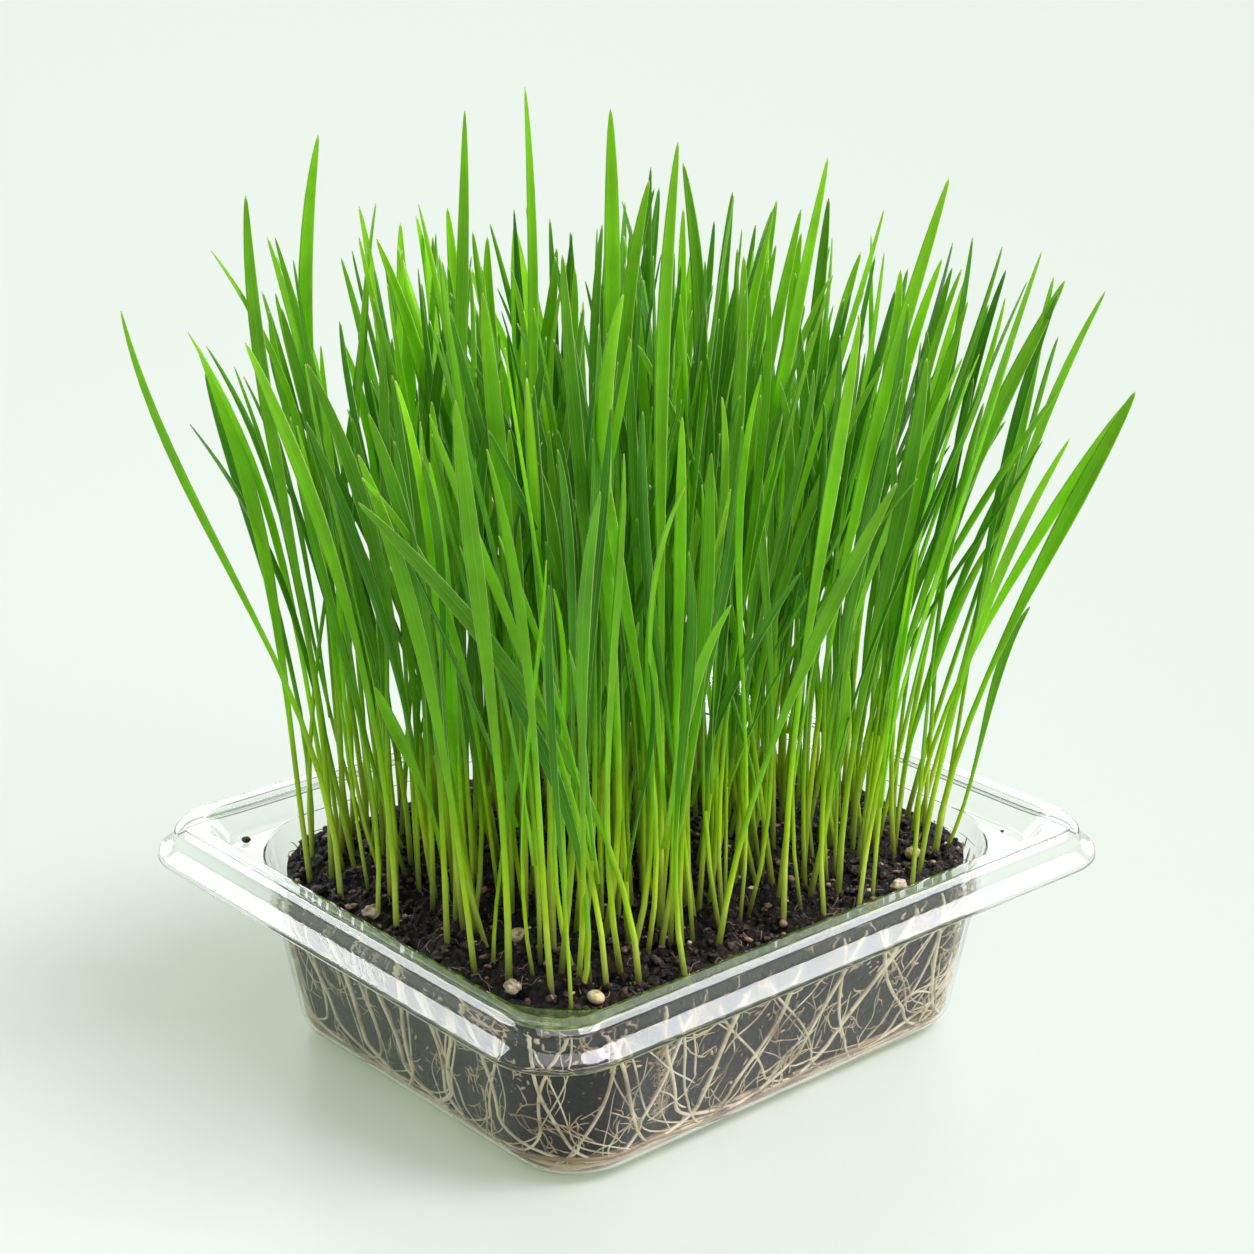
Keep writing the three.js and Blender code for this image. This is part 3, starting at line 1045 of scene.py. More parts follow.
@dataclass
class SoilBlock:
    """The growing medium: a block with crumbly top and sides, and loose bits on it."""

    tray: TraySheet
    top: float = 36.6
    cell: float = 0.5
    skin: float = 1.3
    shoulder: float = 24.0
    relief: float = 0.45
    mound: float = 1.0
    side_rows: tuple[float, ...] = (35.2, *(34 - 1.5 * k for k in range(19)), 5.6, 4.2, 3, 2, 1.2)

    def outline(self, z: float) -> RoundedBox:
        """Returns the block's outline at a height; near the top its corners draw in.

        Args:
            z: Height in millimetres.

        Returns:
            The outline in metres.
        """
        wall = self.tray.wall(z)
        draw = 1.5 * max(z - self.shoulder, 0.0) / 12.0
        inset = wall.inset + self.skin + 0.35 * draw
        level = Level(inset, z, max(wall.corner - self.skin + 2.6 * draw, 4.0))
        return self.tray.box(level)

    def height(self, x: float, y: float) -> float:
        """Works out the even part of the top's height.

        Args:
            x: Point's x in metres.
            y: Point's y in metres.

        Returns:
            The height in metres.
        """
        mx, my = x / MM, y / MM
        waves = math.sin(0.31 * mx + 1.3) * math.cos(0.27 * my) + math.sin(0.17 * mx - 0.23 * my + 2.1)
        middle = 1 - math.hypot(mx / 60, my / 52)
        return (self.top + self.relief * waves + self.mound * middle) * MM

    def lumps(self, place: Vector) -> float:
        """Works out how high the clods stand.

        Args:
            place: The point in metres, with z at 0.

        Returns:
            The clods' height in metres.
        """
        broad = noise.noise(place * 150) * 1.1
        clods = (0.5 - noise.voronoi(place * 300)[0][0]) * 2.3
        pits = -abs(noise.noise(place * 420 + Vector((3, 7, 0)))) * 2.0
        crumbs = noise.noise(place * 1100) * 0.7
        return (broad + clods + pits + crumbs + 0.4) * MM

    def surface(self, x: float, y: float) -> float:
        """Returns the top's height at a point with its clods, all in metres."""
        return self.height(x, y) + self.lumps(Vector((x, y, 0)))

    def shape_top(self, bm: bmesh.types.BMesh, rim: RoundedBox) -> Edges:
        """Cuts a fine grid to the outline and raises its clods.

        Args:
            bm: The block's mesh, with a raised layer.
            rim: The top's outline.

        Returns:
            The top's edges round the outline.
        """
        steps = [int(2 * half / (self.cell * MM)) for half in (rim.half_x, rim.half_y)]
        bmesh.ops.create_grid(bm, x_segments=steps[0], y_segments=steps[1], size=0.5)
        bmesh.ops.scale(bm, vec=(2 * rim.half_x, 2 * rim.half_y, 1), verts=bm.verts[:])
        outside = [v for v in bm.verts if rim.distance(v.co.x, v.co.y) > 0.3 * self.cell * MM]
        bmesh.ops.delete(bm, geom=outside, context="VERTS")
        raised = bm.verts.layers.float["raised"]
        edge = [e for e in bm.edges if e.is_boundary]
        for vert in {v for e in edge for v in e.verts}:
            vert.co.x, vert.co.y = rim.nearest(vert.co.x, vert.co.y)
        for vert in bm.verts:
            fade = min(1.0, -rim.distance(vert.co.x, vert.co.y) / (2.5 * MM) + 0.35)
            lump = self.lumps(Vector((vert.co.x, vert.co.y, 0)))
            vert.co.z = self.height(vert.co.x, vert.co.y) + fade * lump
            # raised drives the soil's painted shade: pits get a low value and are painted near black.
            vert[raised] = 0.5 + lump / (3.2 * MM)
        return edge

    def pull_side(self, bm: bmesh.types.BMesh, edge: Edges, z: float) -> Edges:
        """Pulls the side down to the next row, pitted where it faces the wall.

        Args:
            bm: The block's mesh, with a raised layer.
            edge: The row's edges.
            z: The next row's height in millimetres.

        Returns:
            The next row's edges.
        """
        box = self.outline(z)
        raised = bm.verts.layers.float["raised"]
        made = bmesh.ops.extrude_edge_only(bm, edges=edge)["geom"]
        for vert in (item for item in made if isinstance(item, bmesh.types.BMVert)):
            x, y = box.nearest(vert.co.x, vert.co.y)
            place = Vector((x, y, z * MM))
            inward = Vector((x, y, 0)).normalized()
            dent = 0.5 * MM * abs(noise.noise(place * 260)) + 0.35 * MM * abs(noise.noise(place * 800))
            vert.co = place - inward * dent
            # The sides get a middle value, so they are painted mostly in the near-black shade.
            vert[raised] = 0.45
        return [item for item in made if isinstance(item, bmesh.types.BMEdge)]

    def build(self, material: bpy.types.Material) -> bpy.types.Object:
        """Models the block: its crumbly top, the sides pulled down from it, and its underside.

        Args:
            material: The dark soil.

        Returns:
            The soil piece.
        """
        bm = bmesh.new()
        bm.verts.layers.float.new("raised")
        edge = self.shape_top(bm, self.outline(self.top))
        for z in self.side_rows:
            edge = self.pull_side(bm, edge, z)
        bmesh.ops.contextual_create(bm, geom=edge)
        return finish_piece(bm, "soil_block", [material], ["soil"])


class Bit(Enum):
    """Kinds of loose bit on the soil, by material index."""

    CRUMB = 0
    CHIP = 1
    HUSK = 2
    ALGA = 3


@dataclass
class LooseBits:
    """Crumbs, chips, husks and specks of algae that lie on the soil."""

    soil: SoilBlock
    crumbs: int = 2600
    chips: int = 260
    husks: int = 80
    algae: int = 150
    strays: tuple[tuple[float, float, float, float], ...] = (
        (-58.1, 49.4, 40.5, 0.95),
        (60.2, -46.2, 40.15, 0.4),
    )
    templates: int = 10
    batch: int = 40
    seed: int = 23

    def lumpy_shapes(self, rng: random.Random) -> list[bpy.types.Mesh]:
        """Makes a few lumpy shapes that the bits repeat.

        Args:
            rng: The stream of random numbers.

        Returns:
            Unit-sized meshes of a few dozen faces.
        """
        shapes = []
        for number in range(self.templates):
            bm = bmesh.new()
            bmesh.ops.create_icosphere(bm, subdivisions=1 if number % 2 else 2, radius=1.0)
            offset = Vector((rng.uniform(-9, 9), rng.uniform(-9, 9), rng.uniform(-9, 9)))
            for vert in bm.verts:
                vert.co *= 1 + 0.45 * noise.noise(vert.co * 1.4 + offset)
            mesh = bpy.data.meshes.new("bit_shape")
            bm.to_mesh(mesh)
            bm.free()
            shapes.append(mesh)
        return shapes

    def size(self, kind: Bit, rng: random.Random) -> Vector:
        """Returns a bit's half sizes in metres.

        Args:
            kind: What the bit is.
            rng: The stream of random numbers.

        Returns:
            Half sizes along its own axes.
        """
        base = {
            Bit.CRUMB: rng.uniform(0.25, 0.8) if rng.random() < 0.9 else rng.uniform(0.8, 1.5),
            Bit.CHIP: rng.uniform(0.3, 1.0),
            Bit.HUSK: rng.uniform(0.25, 0.85),
            Bit.ALGA: rng.uniform(0.15, 0.3),
        }[kind]
        spread = ((0.8, 1.6), (0.6, 1.1), (0.45, 0.9))
        return Vector([base * rng.uniform(*limits) for limits in spread]) * MM

    def place(self, rng: random.Random, kind: Bit, area: RoundedBox) -> Matrix | None:
        """Picks where a bit lies and how it is turned and sized.

        Args:
            rng: The stream of random numbers.
            kind: What the bit is.
            area: The soil's outline.

        Returns:
            The bit's matrix, or None where it would stand out past the soil.
        """
        x = rng.uniform(-area.half_x, area.half_x)
        y = rng.uniform(-area.half_y, area.half_y)
        size = self.size(kind, rng)
        heading = Matrix.Rotation(rng.uniform(0, math.tau), 4, "Z")
        turn = heading @ Matrix.Rotation(rng.uniform(-0.5, 0.5), 4, "X")
        if area.distance(x, y) > -size.x + 0.3 * MM:
            return None
        middle = Matrix.Translation((x, y, self.soil.surface(x, y) + 0.3 * size.z))
        return middle @ turn @ Matrix.Diagonal((*size, 1))

    def add_batch(
        self, whole: bmesh.types.BMesh, rng: random.Random, kinds: list[Bit], shapes: list[bpy.types.Mesh]
    ) -> None:
        """Scatters a few bits in a small mesh of their own and adds it to the whole, which is quicker.

        Args:
            whole: The piece's mesh.
            rng: The stream of random numbers.
            kinds: The kind of each bit.
            shapes: The meshes that the bits repeat.
        """
        area = self.soil.outline(self.soil.top)
        bm = bmesh.new()
        for kind in kinds:
            place = self.place(rng, kind, area)
            if place is None:
                continue
            verts, faces = len(bm.verts), len(bm.faces)
            bm.from_mesh(rng.choice(shapes))
            bm.verts.ensure_lookup_table()
            bm.faces.ensure_lookup_table()
            bmesh.ops.transform(bm, matrix=place, verts=bm.verts[verts:])
            for face in bm.faces[faces:]:
                face.material_index = kind.value
        batch = bpy.data.meshes.new("bits")
        bm.to_mesh(batch)
        bm.free()
        whole.from_mesh(batch)
        bpy.data.meshes.remove(batch)

    def add_strays(self, whole: bmesh.types.BMesh, shapes: list[bpy.types.Mesh]) -> None:
        """Lays the crumbs that have strayed onto the tray's corner ledges.

        Args:
            whole: The piece's mesh.
            shapes: The meshes that the bits repeat.
        """
        for number, (x, y, z, half) in enumerate(self.strays):
            first = len(whole.verts)
            whole.from_mesh(shapes[2 * number])
            whole.verts.ensure_lookup_table()
            size = Matrix.Diagonal((half * MM, 0.75 * half * MM, 0.65 * half * MM, 1))
            place = Matrix.Translation(Vector((x, y, z)) * MM) @ size
            bmesh.ops.transform(whole, matrix=place, verts=whole.verts[first:])

    def build(self, materials: Sequence[bpy.types.Material]) -> bpy.types.Object:
        """Scatters the bits over the soil's top.

        Args:
            materials: One material per kind, in the order of Bit.

        Returns:
            The loose bits as one piece.
        """
        rng = random.Random(self.seed)
        shapes = self.lumpy_shapes(rng)
        counts = {Bit.CRUMB: self.crumbs, Bit.CHIP: self.chips, Bit.HUSK: self.husks, Bit.ALGA: self.algae}
        kinds = [kind for kind, count in counts.items() for _ in range(count)]
        whole = bmesh.new()
        for first in range(0, len(kinds), self.batch):
            self.add_batch(whole, rng, kinds[first : first + self.batch], shapes)
        self.add_strays(whole, shapes)
        return finish_piece(whole, "soil_bits", materials)


@dataclass
class Fibres:
    """Fine threads of bark and root that lie over the soil's clods."""

    soil: SoilBlock
    count: int = 520
    points: int = 7
    seed: int = 41

    def course(self, rng: random.Random, area: RoundedBox) -> Course:
        """Plans one thread that follows the ground.

        Args:
            rng: The stream of random numbers.
            area: The soil's outline.

        Returns:
            Its points in metres, with the radius in millimetres, or none where it would leave the soil.
        """
        x, y = rng.uniform(-area.half_x, area.half_x), rng.uniform(-area.half_y, area.half_y)
        heading, curl = rng.uniform(0, math.tau), rng.uniform(-0.5, 0.5)
        step = rng.uniform(0.3, 0.9) * MM
        radius, lift = rng.uniform(0.05, 0.11), rng.uniform(0.0, 0.25) * MM
        points = []
        for _ in range(self.points):
            if area.distance(x, y) > -0.4 * MM:
                return []
            points.append((Vector((x, y, self.soil.surface(x, y) + lift)), radius))
            heading += curl + rng.uniform(-0.35, 0.35)
            x, y = x + step * math.cos(heading), y + step * math.sin(heading)
        return points

    def build(self, material: bpy.types.Material) -> bpy.types.Object:
        """Models the threads as one piece.

        Args:
            material: Brown fibre.

        Returns:
            The threads.
        """
        rng = random.Random(self.seed)
        area = self.soil.outline(self.soil.top)
        courses = [course for course in (self.course(rng, area) for _ in range(self.count)) if course]
        return place_piece(tube_mesh("soil_fibres", courses, 0), "soil_fibres", [material])


# ---------------------------------------------------------------- grains


@dataclass
class Grain:
    """One seed husk or lump of perlite that stands for a CAD solid."""

    node: str
    seed: int
    marked: bool = False
    mark: Vector = field(default_factory=lambda: Vector((-0.5, -0.62, 0.6)))

    def dent(self, spot: Vector) -> tuple[float, float]:
        """Works out a seed's crease, or its brown mark.

        Args:
            spot: A point of the seed's unit sphere.

        Returns:
            How far the seed is pressed in there, and how brown it is.
        """
        if self.marked:
            near = max((spot.dot(self.mark) - 0.84) / 0.16, 0.0)
            ring = math.exp(-(((spot.dot(self.mark) - 0.72) / 0.05) ** 2))
            return 0.12 * near + 0.05 * ring, near * (0.75 + 0.5 * noise.noise(spot * 7)) + 0.25 * ring
        crease = math.exp(-((spot.x / 0.16) ** 2)) * max(spot.z, 0.0)
        return 0.2 * crease, 0.7 * crease

    def build(self, material: bpy.types.Material) -> bpy.types.Object:
        """Models the bit inside its CAD solid's box, with a crease, a brown mark or pits.

        Args:
            material: Husk or perlite.

        Returns:
            The grain piece.
        """
        low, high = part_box(self.node)
        centre, half = (low + high) / 2, (high - low) / 2
        is_seed = self.node.startswith("grain")
        bm = bmesh.new()
        bmesh.ops.create_icosphere(bm, subdivisions=4, radius=1.0)
        offset = Vector((self.seed * 3.1, self.seed * 1.7, 0))
        stain = bm.verts.layers.float.new("stain")
        for vert in bm.verts:
            spot = vert.co.copy()
            if is_seed:
                pressed, vert[stain] = self.dent(spot)
                spot *= 1 - pressed + 0.03 * noise.noise(spot * 4 + offset)
            else:
                pits = abs(noise.noise(spot * 3.4 + offset))
                spot *= 1 + 0.3 * noise.noise(spot * 1.7 + offset) - 0.3 * pits
            vert.co = centre + Vector((spot.x * half.x, spot.y * half.y, spot.z * half.z))
        return finish_piece(bm, "detail_" + self.node, [material], [self.node])


# ---------------------------------------------------------------- roots


@dataclass(frozen=True)
class RootPath:
    """One root on the inside of the wall.

    turn and z are lists along the root; depth is how far it lies in from the wall, in millimetres.
    """

    turns: tuple[float, ...]
    heights: tuple[float, ...]
    depth: float
    radius: float
    taper: float = 0.5


@dataclass
class RootMat:
    """Roots pressed between soil and wall: running down, crossing, branching, and circling at the foot."""

    tray: TraySheet
    around: float = 400.0
    main: int = 58
    thin: int = 60
    twigs: int = 420
    stars: int = 14
    flakes: int = 420
    circling: int = 110
    hairs: int = 260
    hairy_turn: float = 0.664
    top: float = 35.6
    bend: float = 6.5
    lowest: float = 1.35
    steps: int = 15
    seed: int = 11

    def point(self, turn: float, z: float, depth: float) -> Vector:
        """Returns a point on the inside of the wall, in metres.

        Args:
            turn: Share of the way round.
            z: Height in millimetres.
            depth: Distance in from the wall in millimetres.

        Returns:
            The point.
        """
        wall = self.tray.wall(z)
        box = self.tray.box(Level(wall.inset + depth, z, max(wall.corner - depth, 2.0)))
        return Vector((*box.at(turn), z * MM))

    def steepness(self, turn: float) -> float:
        """Returns 1 on the short walls, where roots run straight down, and 0 on the long ones."""
        return 0.5 + 0.5 * math.cos(2 * math.tau * turn)

    def falling(self, rng: random.Random, start: float, drift: float, radius: float, top: float) -> RootPath:
        """Plans a root that runs down the wall and turns along the bottom edge.

        Args:
            rng: The stream of random numbers.
            start: Where it starts, as a share of the way round.
            drift: How far it moves round on its way down, in millimetres.
            radius: Its thickest radius in millimetres.
            top: Height it starts at, in millimetres.

        Returns:
            The root.
        """
        sway, wave = rng.uniform(0.5, 1.8), rng.uniform(0, math.tau)
        level, run = rng.uniform(2.0, 5.2), math.copysign(rng.uniform(5, 30), drift)
        turns, heights = [], []
        for k in range(self.steps + 1):
            t = k / self.steps
            turns.append(start + (drift * t + sway * math.sin(4.6 * t + wave)) / self.around)
            heights.append(top + (level + self.bend - top) * t)
        low, foot = turns[-1], heights[-1]
        for k in range(1, 10):
            t = k / 9
            turns.append(low + run * t**1.6 / self.around)
            heights.append(foot - self.bend * math.sin(t * math.pi / 2) + 0.35 * math.sin(6 * t + wave))
        return RootPath(tuple(turns), tuple(heights), rng.uniform(0.45, 0.7), radius, 0.35)

    def main_paths(self, rng: random.Random) -> list[RootPath]:
        """Plans the thick roots, some with finer ones close beside them.

        Args:
            rng: The stream of random numbers.

        Returns:
            The roots.
        """
        paths = [self.falling(rng, self.hairy_turn, 3.0, 0.5, self.top)]
        for i in range(self.main):
            start = (i + rng.uniform(0.2, 0.8)) / self.main
            steep = self.steepness(start)
            drift = (-1) ** i * (rng.uniform(1, 4) + 15 * (1 - steep) * rng.uniform(0.5, 1.1))
            radius = rng.uniform(0.26, 0.56)
            top = rng.uniform(31, self.top)
            paths.append(self.falling(rng, start, drift, radius, top))
            for _ in range(rng.choice((0, 0, 1, 2))):
                beside = start + rng.uniform(-2.2, 2.2) / self.around
                paths.append(self.falling(rng, beside, drift + rng.uniform(-2, 2), radius * 0.5, top))
        return paths

    def strand(
        self, rng: random.Random, turn: float, z: float, angle: float, length: float, radius: float
    ) -> RootPath:
        """Plans a thin, slightly curved root at any slant.

        Args:
            rng: The stream of random numbers.
            turn: Where its middle lies, as a share of the way round.
            z: Its middle's height in millimetres.
            angle: Its slant.
            length: Its length in millimetres.
            radius: Its radius in millimetres.

        Returns:
            The root.
        """
        bow = rng.uniform(-0.12, 0.12) * length
        wave, kink = rng.uniform(0, math.tau), rng.uniform(0.2, 0.75)
        turns, heights = [], []
        for k in range(13):
            t = k / 12 - 0.5
            off = bow * (1 - 4 * t * t) + kink * math.sin(9 * t + wave)
            turns.append(turn + (length * t * math.cos(angle) - off * math.sin(angle)) / self.around)
            heights.append(min(max(z + length * t * math.sin(angle) + off * math.cos(angle), 2.2), self.top))
        return RootPath(tuple(turns), tuple(heights), rng.uniform(0.3, 0.6), radius)

    def thin_paths(self, rng: random.Random) -> list[RootPath]:
        """Plans the thin roots: single ones, and stars where several cross in one point.

        Args:
            rng: The stream of random numbers.

        Returns:
            The roots.
        """
        paths = []
        for _ in range(self.thin):
            turn = rng.random()
            most = 0.35 if rng.random() < self.steepness(turn) else 1.1
            angle = math.pi / 2 + rng.uniform(-most, most)
            length = rng.uniform(9, 30)
            z = rng.uniform(7, 31)
            paths.append(self.strand(rng, turn, z, angle, length, rng.uniform(0.1, 0.22)))
        for i in range(self.stars):
            turn = rng.choice((0.25, 0.75)) + 0.25 * ((i + rng.random()) / self.stars - 0.5)
            z = rng.uniform(9, 27)
            for _ in range(rng.randint(3, 5)):
                angle = rng.uniform(0, math.pi)
                length = rng.uniform(8, 24)
                paths.append(self.strand(rng, turn, z, angle, length, rng.uniform(0.12, 0.26)))
        return paths

    def twig(
        self, rng: random.Random, turn: float, z: float, heading: float, step: float, radius: float
    ) -> RootPath:
        """Plans one short curling root that starts from a point.

        Args:
            rng: The stream of random numbers.
            turn: Where it starts, as a share of the way round.
            z: Height it starts at, in millimetres.
            heading: Direction it starts in.
            step: Length of each of its six steps in millimetres.
            radius: Its radius in millimetres.

        Returns:
            The root.
        """
        curl = rng.uniform(-1.4, 1.4)
        turns, heights = [turn], [z]
        for _ in range(6):
            heading += curl / 6 + rng.uniform(-0.4, 0.4)
            turns.append(turns[-1] + step * math.cos(heading) / self.around)
            heights.append(min(max(heights[-1] + step * math.sin(heading), 2.2), self.top + 0.3))
        return RootPath(tuple(turns), tuple(heights), rng.uniform(0.2, 0.5), radius, 0.6)

    def twig_paths(self, rng: random.Random) -> list[RootPath]:
        """Plans the branching rootlets, and the hairs round one root near a corner.

        Args:
            rng: The stream of random numbers.

        Returns:
            The rootlets.
        """
        paths = []
        for _ in range(self.twigs):
            heading = rng.uniform(0, math.tau)
            step = rng.uniform(0.4, 1.0) if rng.random() < 0.5 else rng.uniform(1.0, 1.7)
            stem = self.twig(rng, rng.random(), rng.uniform(5, 35), heading, step, rng.uniform(0.13, 0.25))
            paths.append(stem)
            for _ in range(rng.randint(1, 4)):
                at = rng.randint(1, 5)
                side = heading + rng.choice((-1, 1)) * rng.uniform(0.6, 1.5)
                turn, z = stem.turns[at], stem.heights[at]
                paths.append(self.twig(rng, turn, z, side, step * 0.5, stem.radius * 0.7))
        for _ in range(self.hairs):
            turn = self.hairy_turn + rng.gauss(0, 1.1) / self.around
            paths.append(self.twig(rng, turn, rng.uniform(9, 27), rng.gauss(math.pi / 2, 0.8), 0.35, 0.06))
        return paths

    def flake_paths(self, rng: random.Random, count: int) -> list[RootPath]:
        """Plans some short, thick flakes of husk and bark pressed against the wall.

        Args:
            rng: The stream of random numbers.
            count: How many.

        Returns:
            The flakes, as short fat roots.
        """
        paths = []
        for _ in range(count):
            turn, z = rng.random(), rng.uniform(4, 35)
            angle, half = rng.uniform(0, math.pi), rng.uniform(0.3, 0.9)
            shifts = [(k * half * math.cos(angle), k * half * math.sin(angle)) for k in (-1, -0.4, 0.3, 1)]
            turns = tuple(turn + dx / self.around for dx, _ in shifts)
            heights = tuple(z + dz for _, dz in shifts)
            paths.append(RootPath(turns, heights, rng.uniform(0.45, 0.8), rng.uniform(0.16, 0.42), 0.2))
        return paths

    def circling_paths(self, rng: random.Random, count: int) -> list[RootPath]:
        """Plans part of the bundle that circles at the bottom edge.

        Args:
            rng: The stream of random numbers.
            count: How many roots.

        Returns:
            The roots.
        """
        paths = []
        for _ in range(count):
            start, span = rng.random(), rng.uniform(0.14, 0.5)
            level, wave = rng.uniform(1.5, 5.2), rng.uniform(0, math.tau)
            steps = int(span * 170)
            turns = tuple(start + span * k / steps for k in range(steps + 1))
            heights = tuple(
                max(level + 0.75 * math.sin(38 * t + wave) + 0.3 * math.sin(117 * t + 2 * wave), self.lowest)
                for t in turns
            )
            paths.append(RootPath(turns, heights, rng.uniform(0.4, 1.5), rng.uniform(0.22, 0.55), 0.3))
        return paths

    def course(self, path: RootPath) -> Course:
        """Lays a planned root on the wall.

        Args:
            path: The root.

        Returns:
            Its points in metres, each with its radius in millimetres.
        """
        last = len(path.turns) - 1
        points = []
        for k, (turn, z) in enumerate(zip(path.turns, path.heights)):
            radius = path.radius * (1 - path.taper * k / last) * (0.4 if k in (0, last) else 1)
            points.append((self.point(turn, z, path.depth), radius))
        return points

    def build(self, cream: bpy.types.Material, tan: bpy.types.Material, brown: bpy.types.Material) -> None:
        """Models all the roots.

        Args:
            cream: Finish of the thick roots.
            tan: Finish of the finer roots.
            brown: Finish of the older roots and the flakes.
        """
        rng = random.Random(self.seed)
        plans = (
            ("roots_down", self.main_paths(rng), 1, cream, ["root_mat"]),
            ("roots_thin", self.thin_paths(rng), 1, cream, []),
            ("rootlets", self.twig_paths(rng), 0, tan, []),
            ("root_flakes", self.flake_paths(rng, self.flakes // 2), 0, tan, []),
            ("bark_flakes", self.flake_paths(rng, self.flakes // 2), 0, brown, []),
            ("roots_circling", self.circling_paths(rng, self.circling // 3), 1, tan, []),
            ("roots_circling_old", self.circling_paths(rng, 2 * self.circling // 3), 1, brown, []),
        )
        for name, paths, sides, material, nodes in plans:
            mesh = tube_mesh(name, [self.course(path) for path in paths], sides)
            place_piece(mesh, name, [material], nodes)


# ---------------------------------------------------------------- plants


@dataclass(frozen=True)
class Shoot:
    """One shoot's course: foot and tip in metres, and how its blade is turned and shaped."""

    foot: Vector
    tip: Vector
    turn: float
    twist: float
    width: float
    opening: float
    bow: float
    tone: float
    tilt: Vector
    start: float = 0.0

    def centre(self, t: float) -> Vector:
        """Works out the shoot's middle line, which leaves the soil nearly upright and bows aside.

        Args:
            t: Share of the way along.

        Returns:
            The point there, in metres.
        """
        height = self.tip.z - self.foot.z
        lean = Vector((self.tip.x - self.foot.x, self.tip.y - self.foot.y, 0))
        low = self.foot + Vector((0, 0, 0.38 * height)) + lean * 0.08 + self.tilt
        high = self.foot + Vector((0, 0, 0.72 * height)) + lean * 0.52 - self.tilt * 0.4
        a, b, c, d = (1 - t) ** 3, 3 * t * (1 - t) ** 2, 3 * t * t * (1 - t), t**3
        point = self.foot * a + low * b + high * c + self.tip * d
        aside = Vector((math.cos(self.turn), math.sin(self.turn), 0))
        return point + aside * (self.bow * math.sin(math.pi * t) * t)


@dataclass
class ShootShape:
    """How a shoot's cross-section runs from round sheath to folded blade, in metres."""

    sides: int = 8
    rings: int = 17
    sheath: float = 0.54 * MM
    thickness: float = 0.32 * MM
    fold: float = 0.55
    tip_width: float = 0.1 * MM
    unrolled_at: float = 0.16
    widest_at: float = 0.6
    taper_from: float = 0.5
    tip_rings: float = 1.7

    def section(self, shoot: Shoot, t: float) -> list[tuple[float, float]]:
        """Returns the outline square to the middle line.

        Args:
            shoot: The shoot.
            t: Share of its length.

        Returns:
            Points across and along the blade's own axes, in metres.
        """
        round_radius = self.sheath * (shoot.width / (2.4 * MM)) ** 0.7 * (1 - 0.18 * t / shoot.opening)
        open_share = max((t - shoot.opening) / (1 - shoot.opening), 0.0)
        flat = smooth_step(open_share / self.unrolled_at)
        swell = smooth_step(0.12 + 0.88 * open_share / self.widest_at) if open_share else 0.0
        half = round_radius + (shoot.width / 2 - round_radius) * swell
        beyond = max((open_share - self.taper_from) / (1 - self.taper_from), 0.0)
        narrowing = 1 - max(1 - beyond**2.3, 0.0) ** 0.64
        half = half * (1 - narrowing) + self.tip_width * narrowing
        thick = round_radius * (1 - flat) + self.thickness / 2 * flat * (1 - 0.5 * narrowing)
        points = []
        for k in range(self.sides):
            a = math.tau * k / self.sides
            x, y = half * math.cos(a), thick * math.sin(a)
            y += flat * self.fold * half * (abs(math.cos(a)) - 0.5)
            points.append((x, y))
        return points

    def grow(self, bm: bmesh.types.BMesh, shoot: Shoot) -> None:
        """Pulls one shoot out of its foot, ring by ring, and closes it at the tip.

        Args:
            bm: The clump's mesh, with along, across and tone layers.
            shoot: The shoot's course.
        """
        layers = [bm.verts.layers.float[name] for name in ("along", "across", "tone")]
        ring: list[bmesh.types.BMVert] = []
        for number in range(self.rings):
            share = 1 - (1 - number / (self.rings - 1)) ** self.tip_rings
            t = shoot.start + (1 - shoot.start) * share
            centre = shoot.centre(t)
            ahead = shoot.centre(min(t + 0.01, 1.0)) - shoot.centre(max(t - 0.01, 0.0))
            along = ahead.normalized()
            angle = shoot.turn + shoot.twist * t
            side = Vector((math.cos(angle), math.sin(angle), 0))
            side = (side - along * side.dot(along)).normalized()
            across = side.cross(along)
            places = [centre + side * x + across * y for x, y in self.section(shoot, t)]
            if not ring:
                ring = bmesh.ops.create_circle(bm, cap_ends=True, segments=self.sides, radius=MM)["verts"]
                for vert, place in zip(ring, places):
                    vert.co = place
            else:
                ring = pull_ring(bm, ring, places)
            for k, vert in enumerate(ring):
                vert[layers[0]] = t
                vert[layers[1]] = 0.5 + 0.5 * math.cos(math.tau * k / self.sides)
                vert[layers[2]] = shoot.tone
        close_ring(bm, ring)


@dataclass(frozen=True)
class Storey:
    """A share of the shoots that ends between two heights, in millimetres, and how far those lean out."""

    up_to: float
    low: float
    high: float
    edge_drop: float
    least_spread: float
    most_spread: float


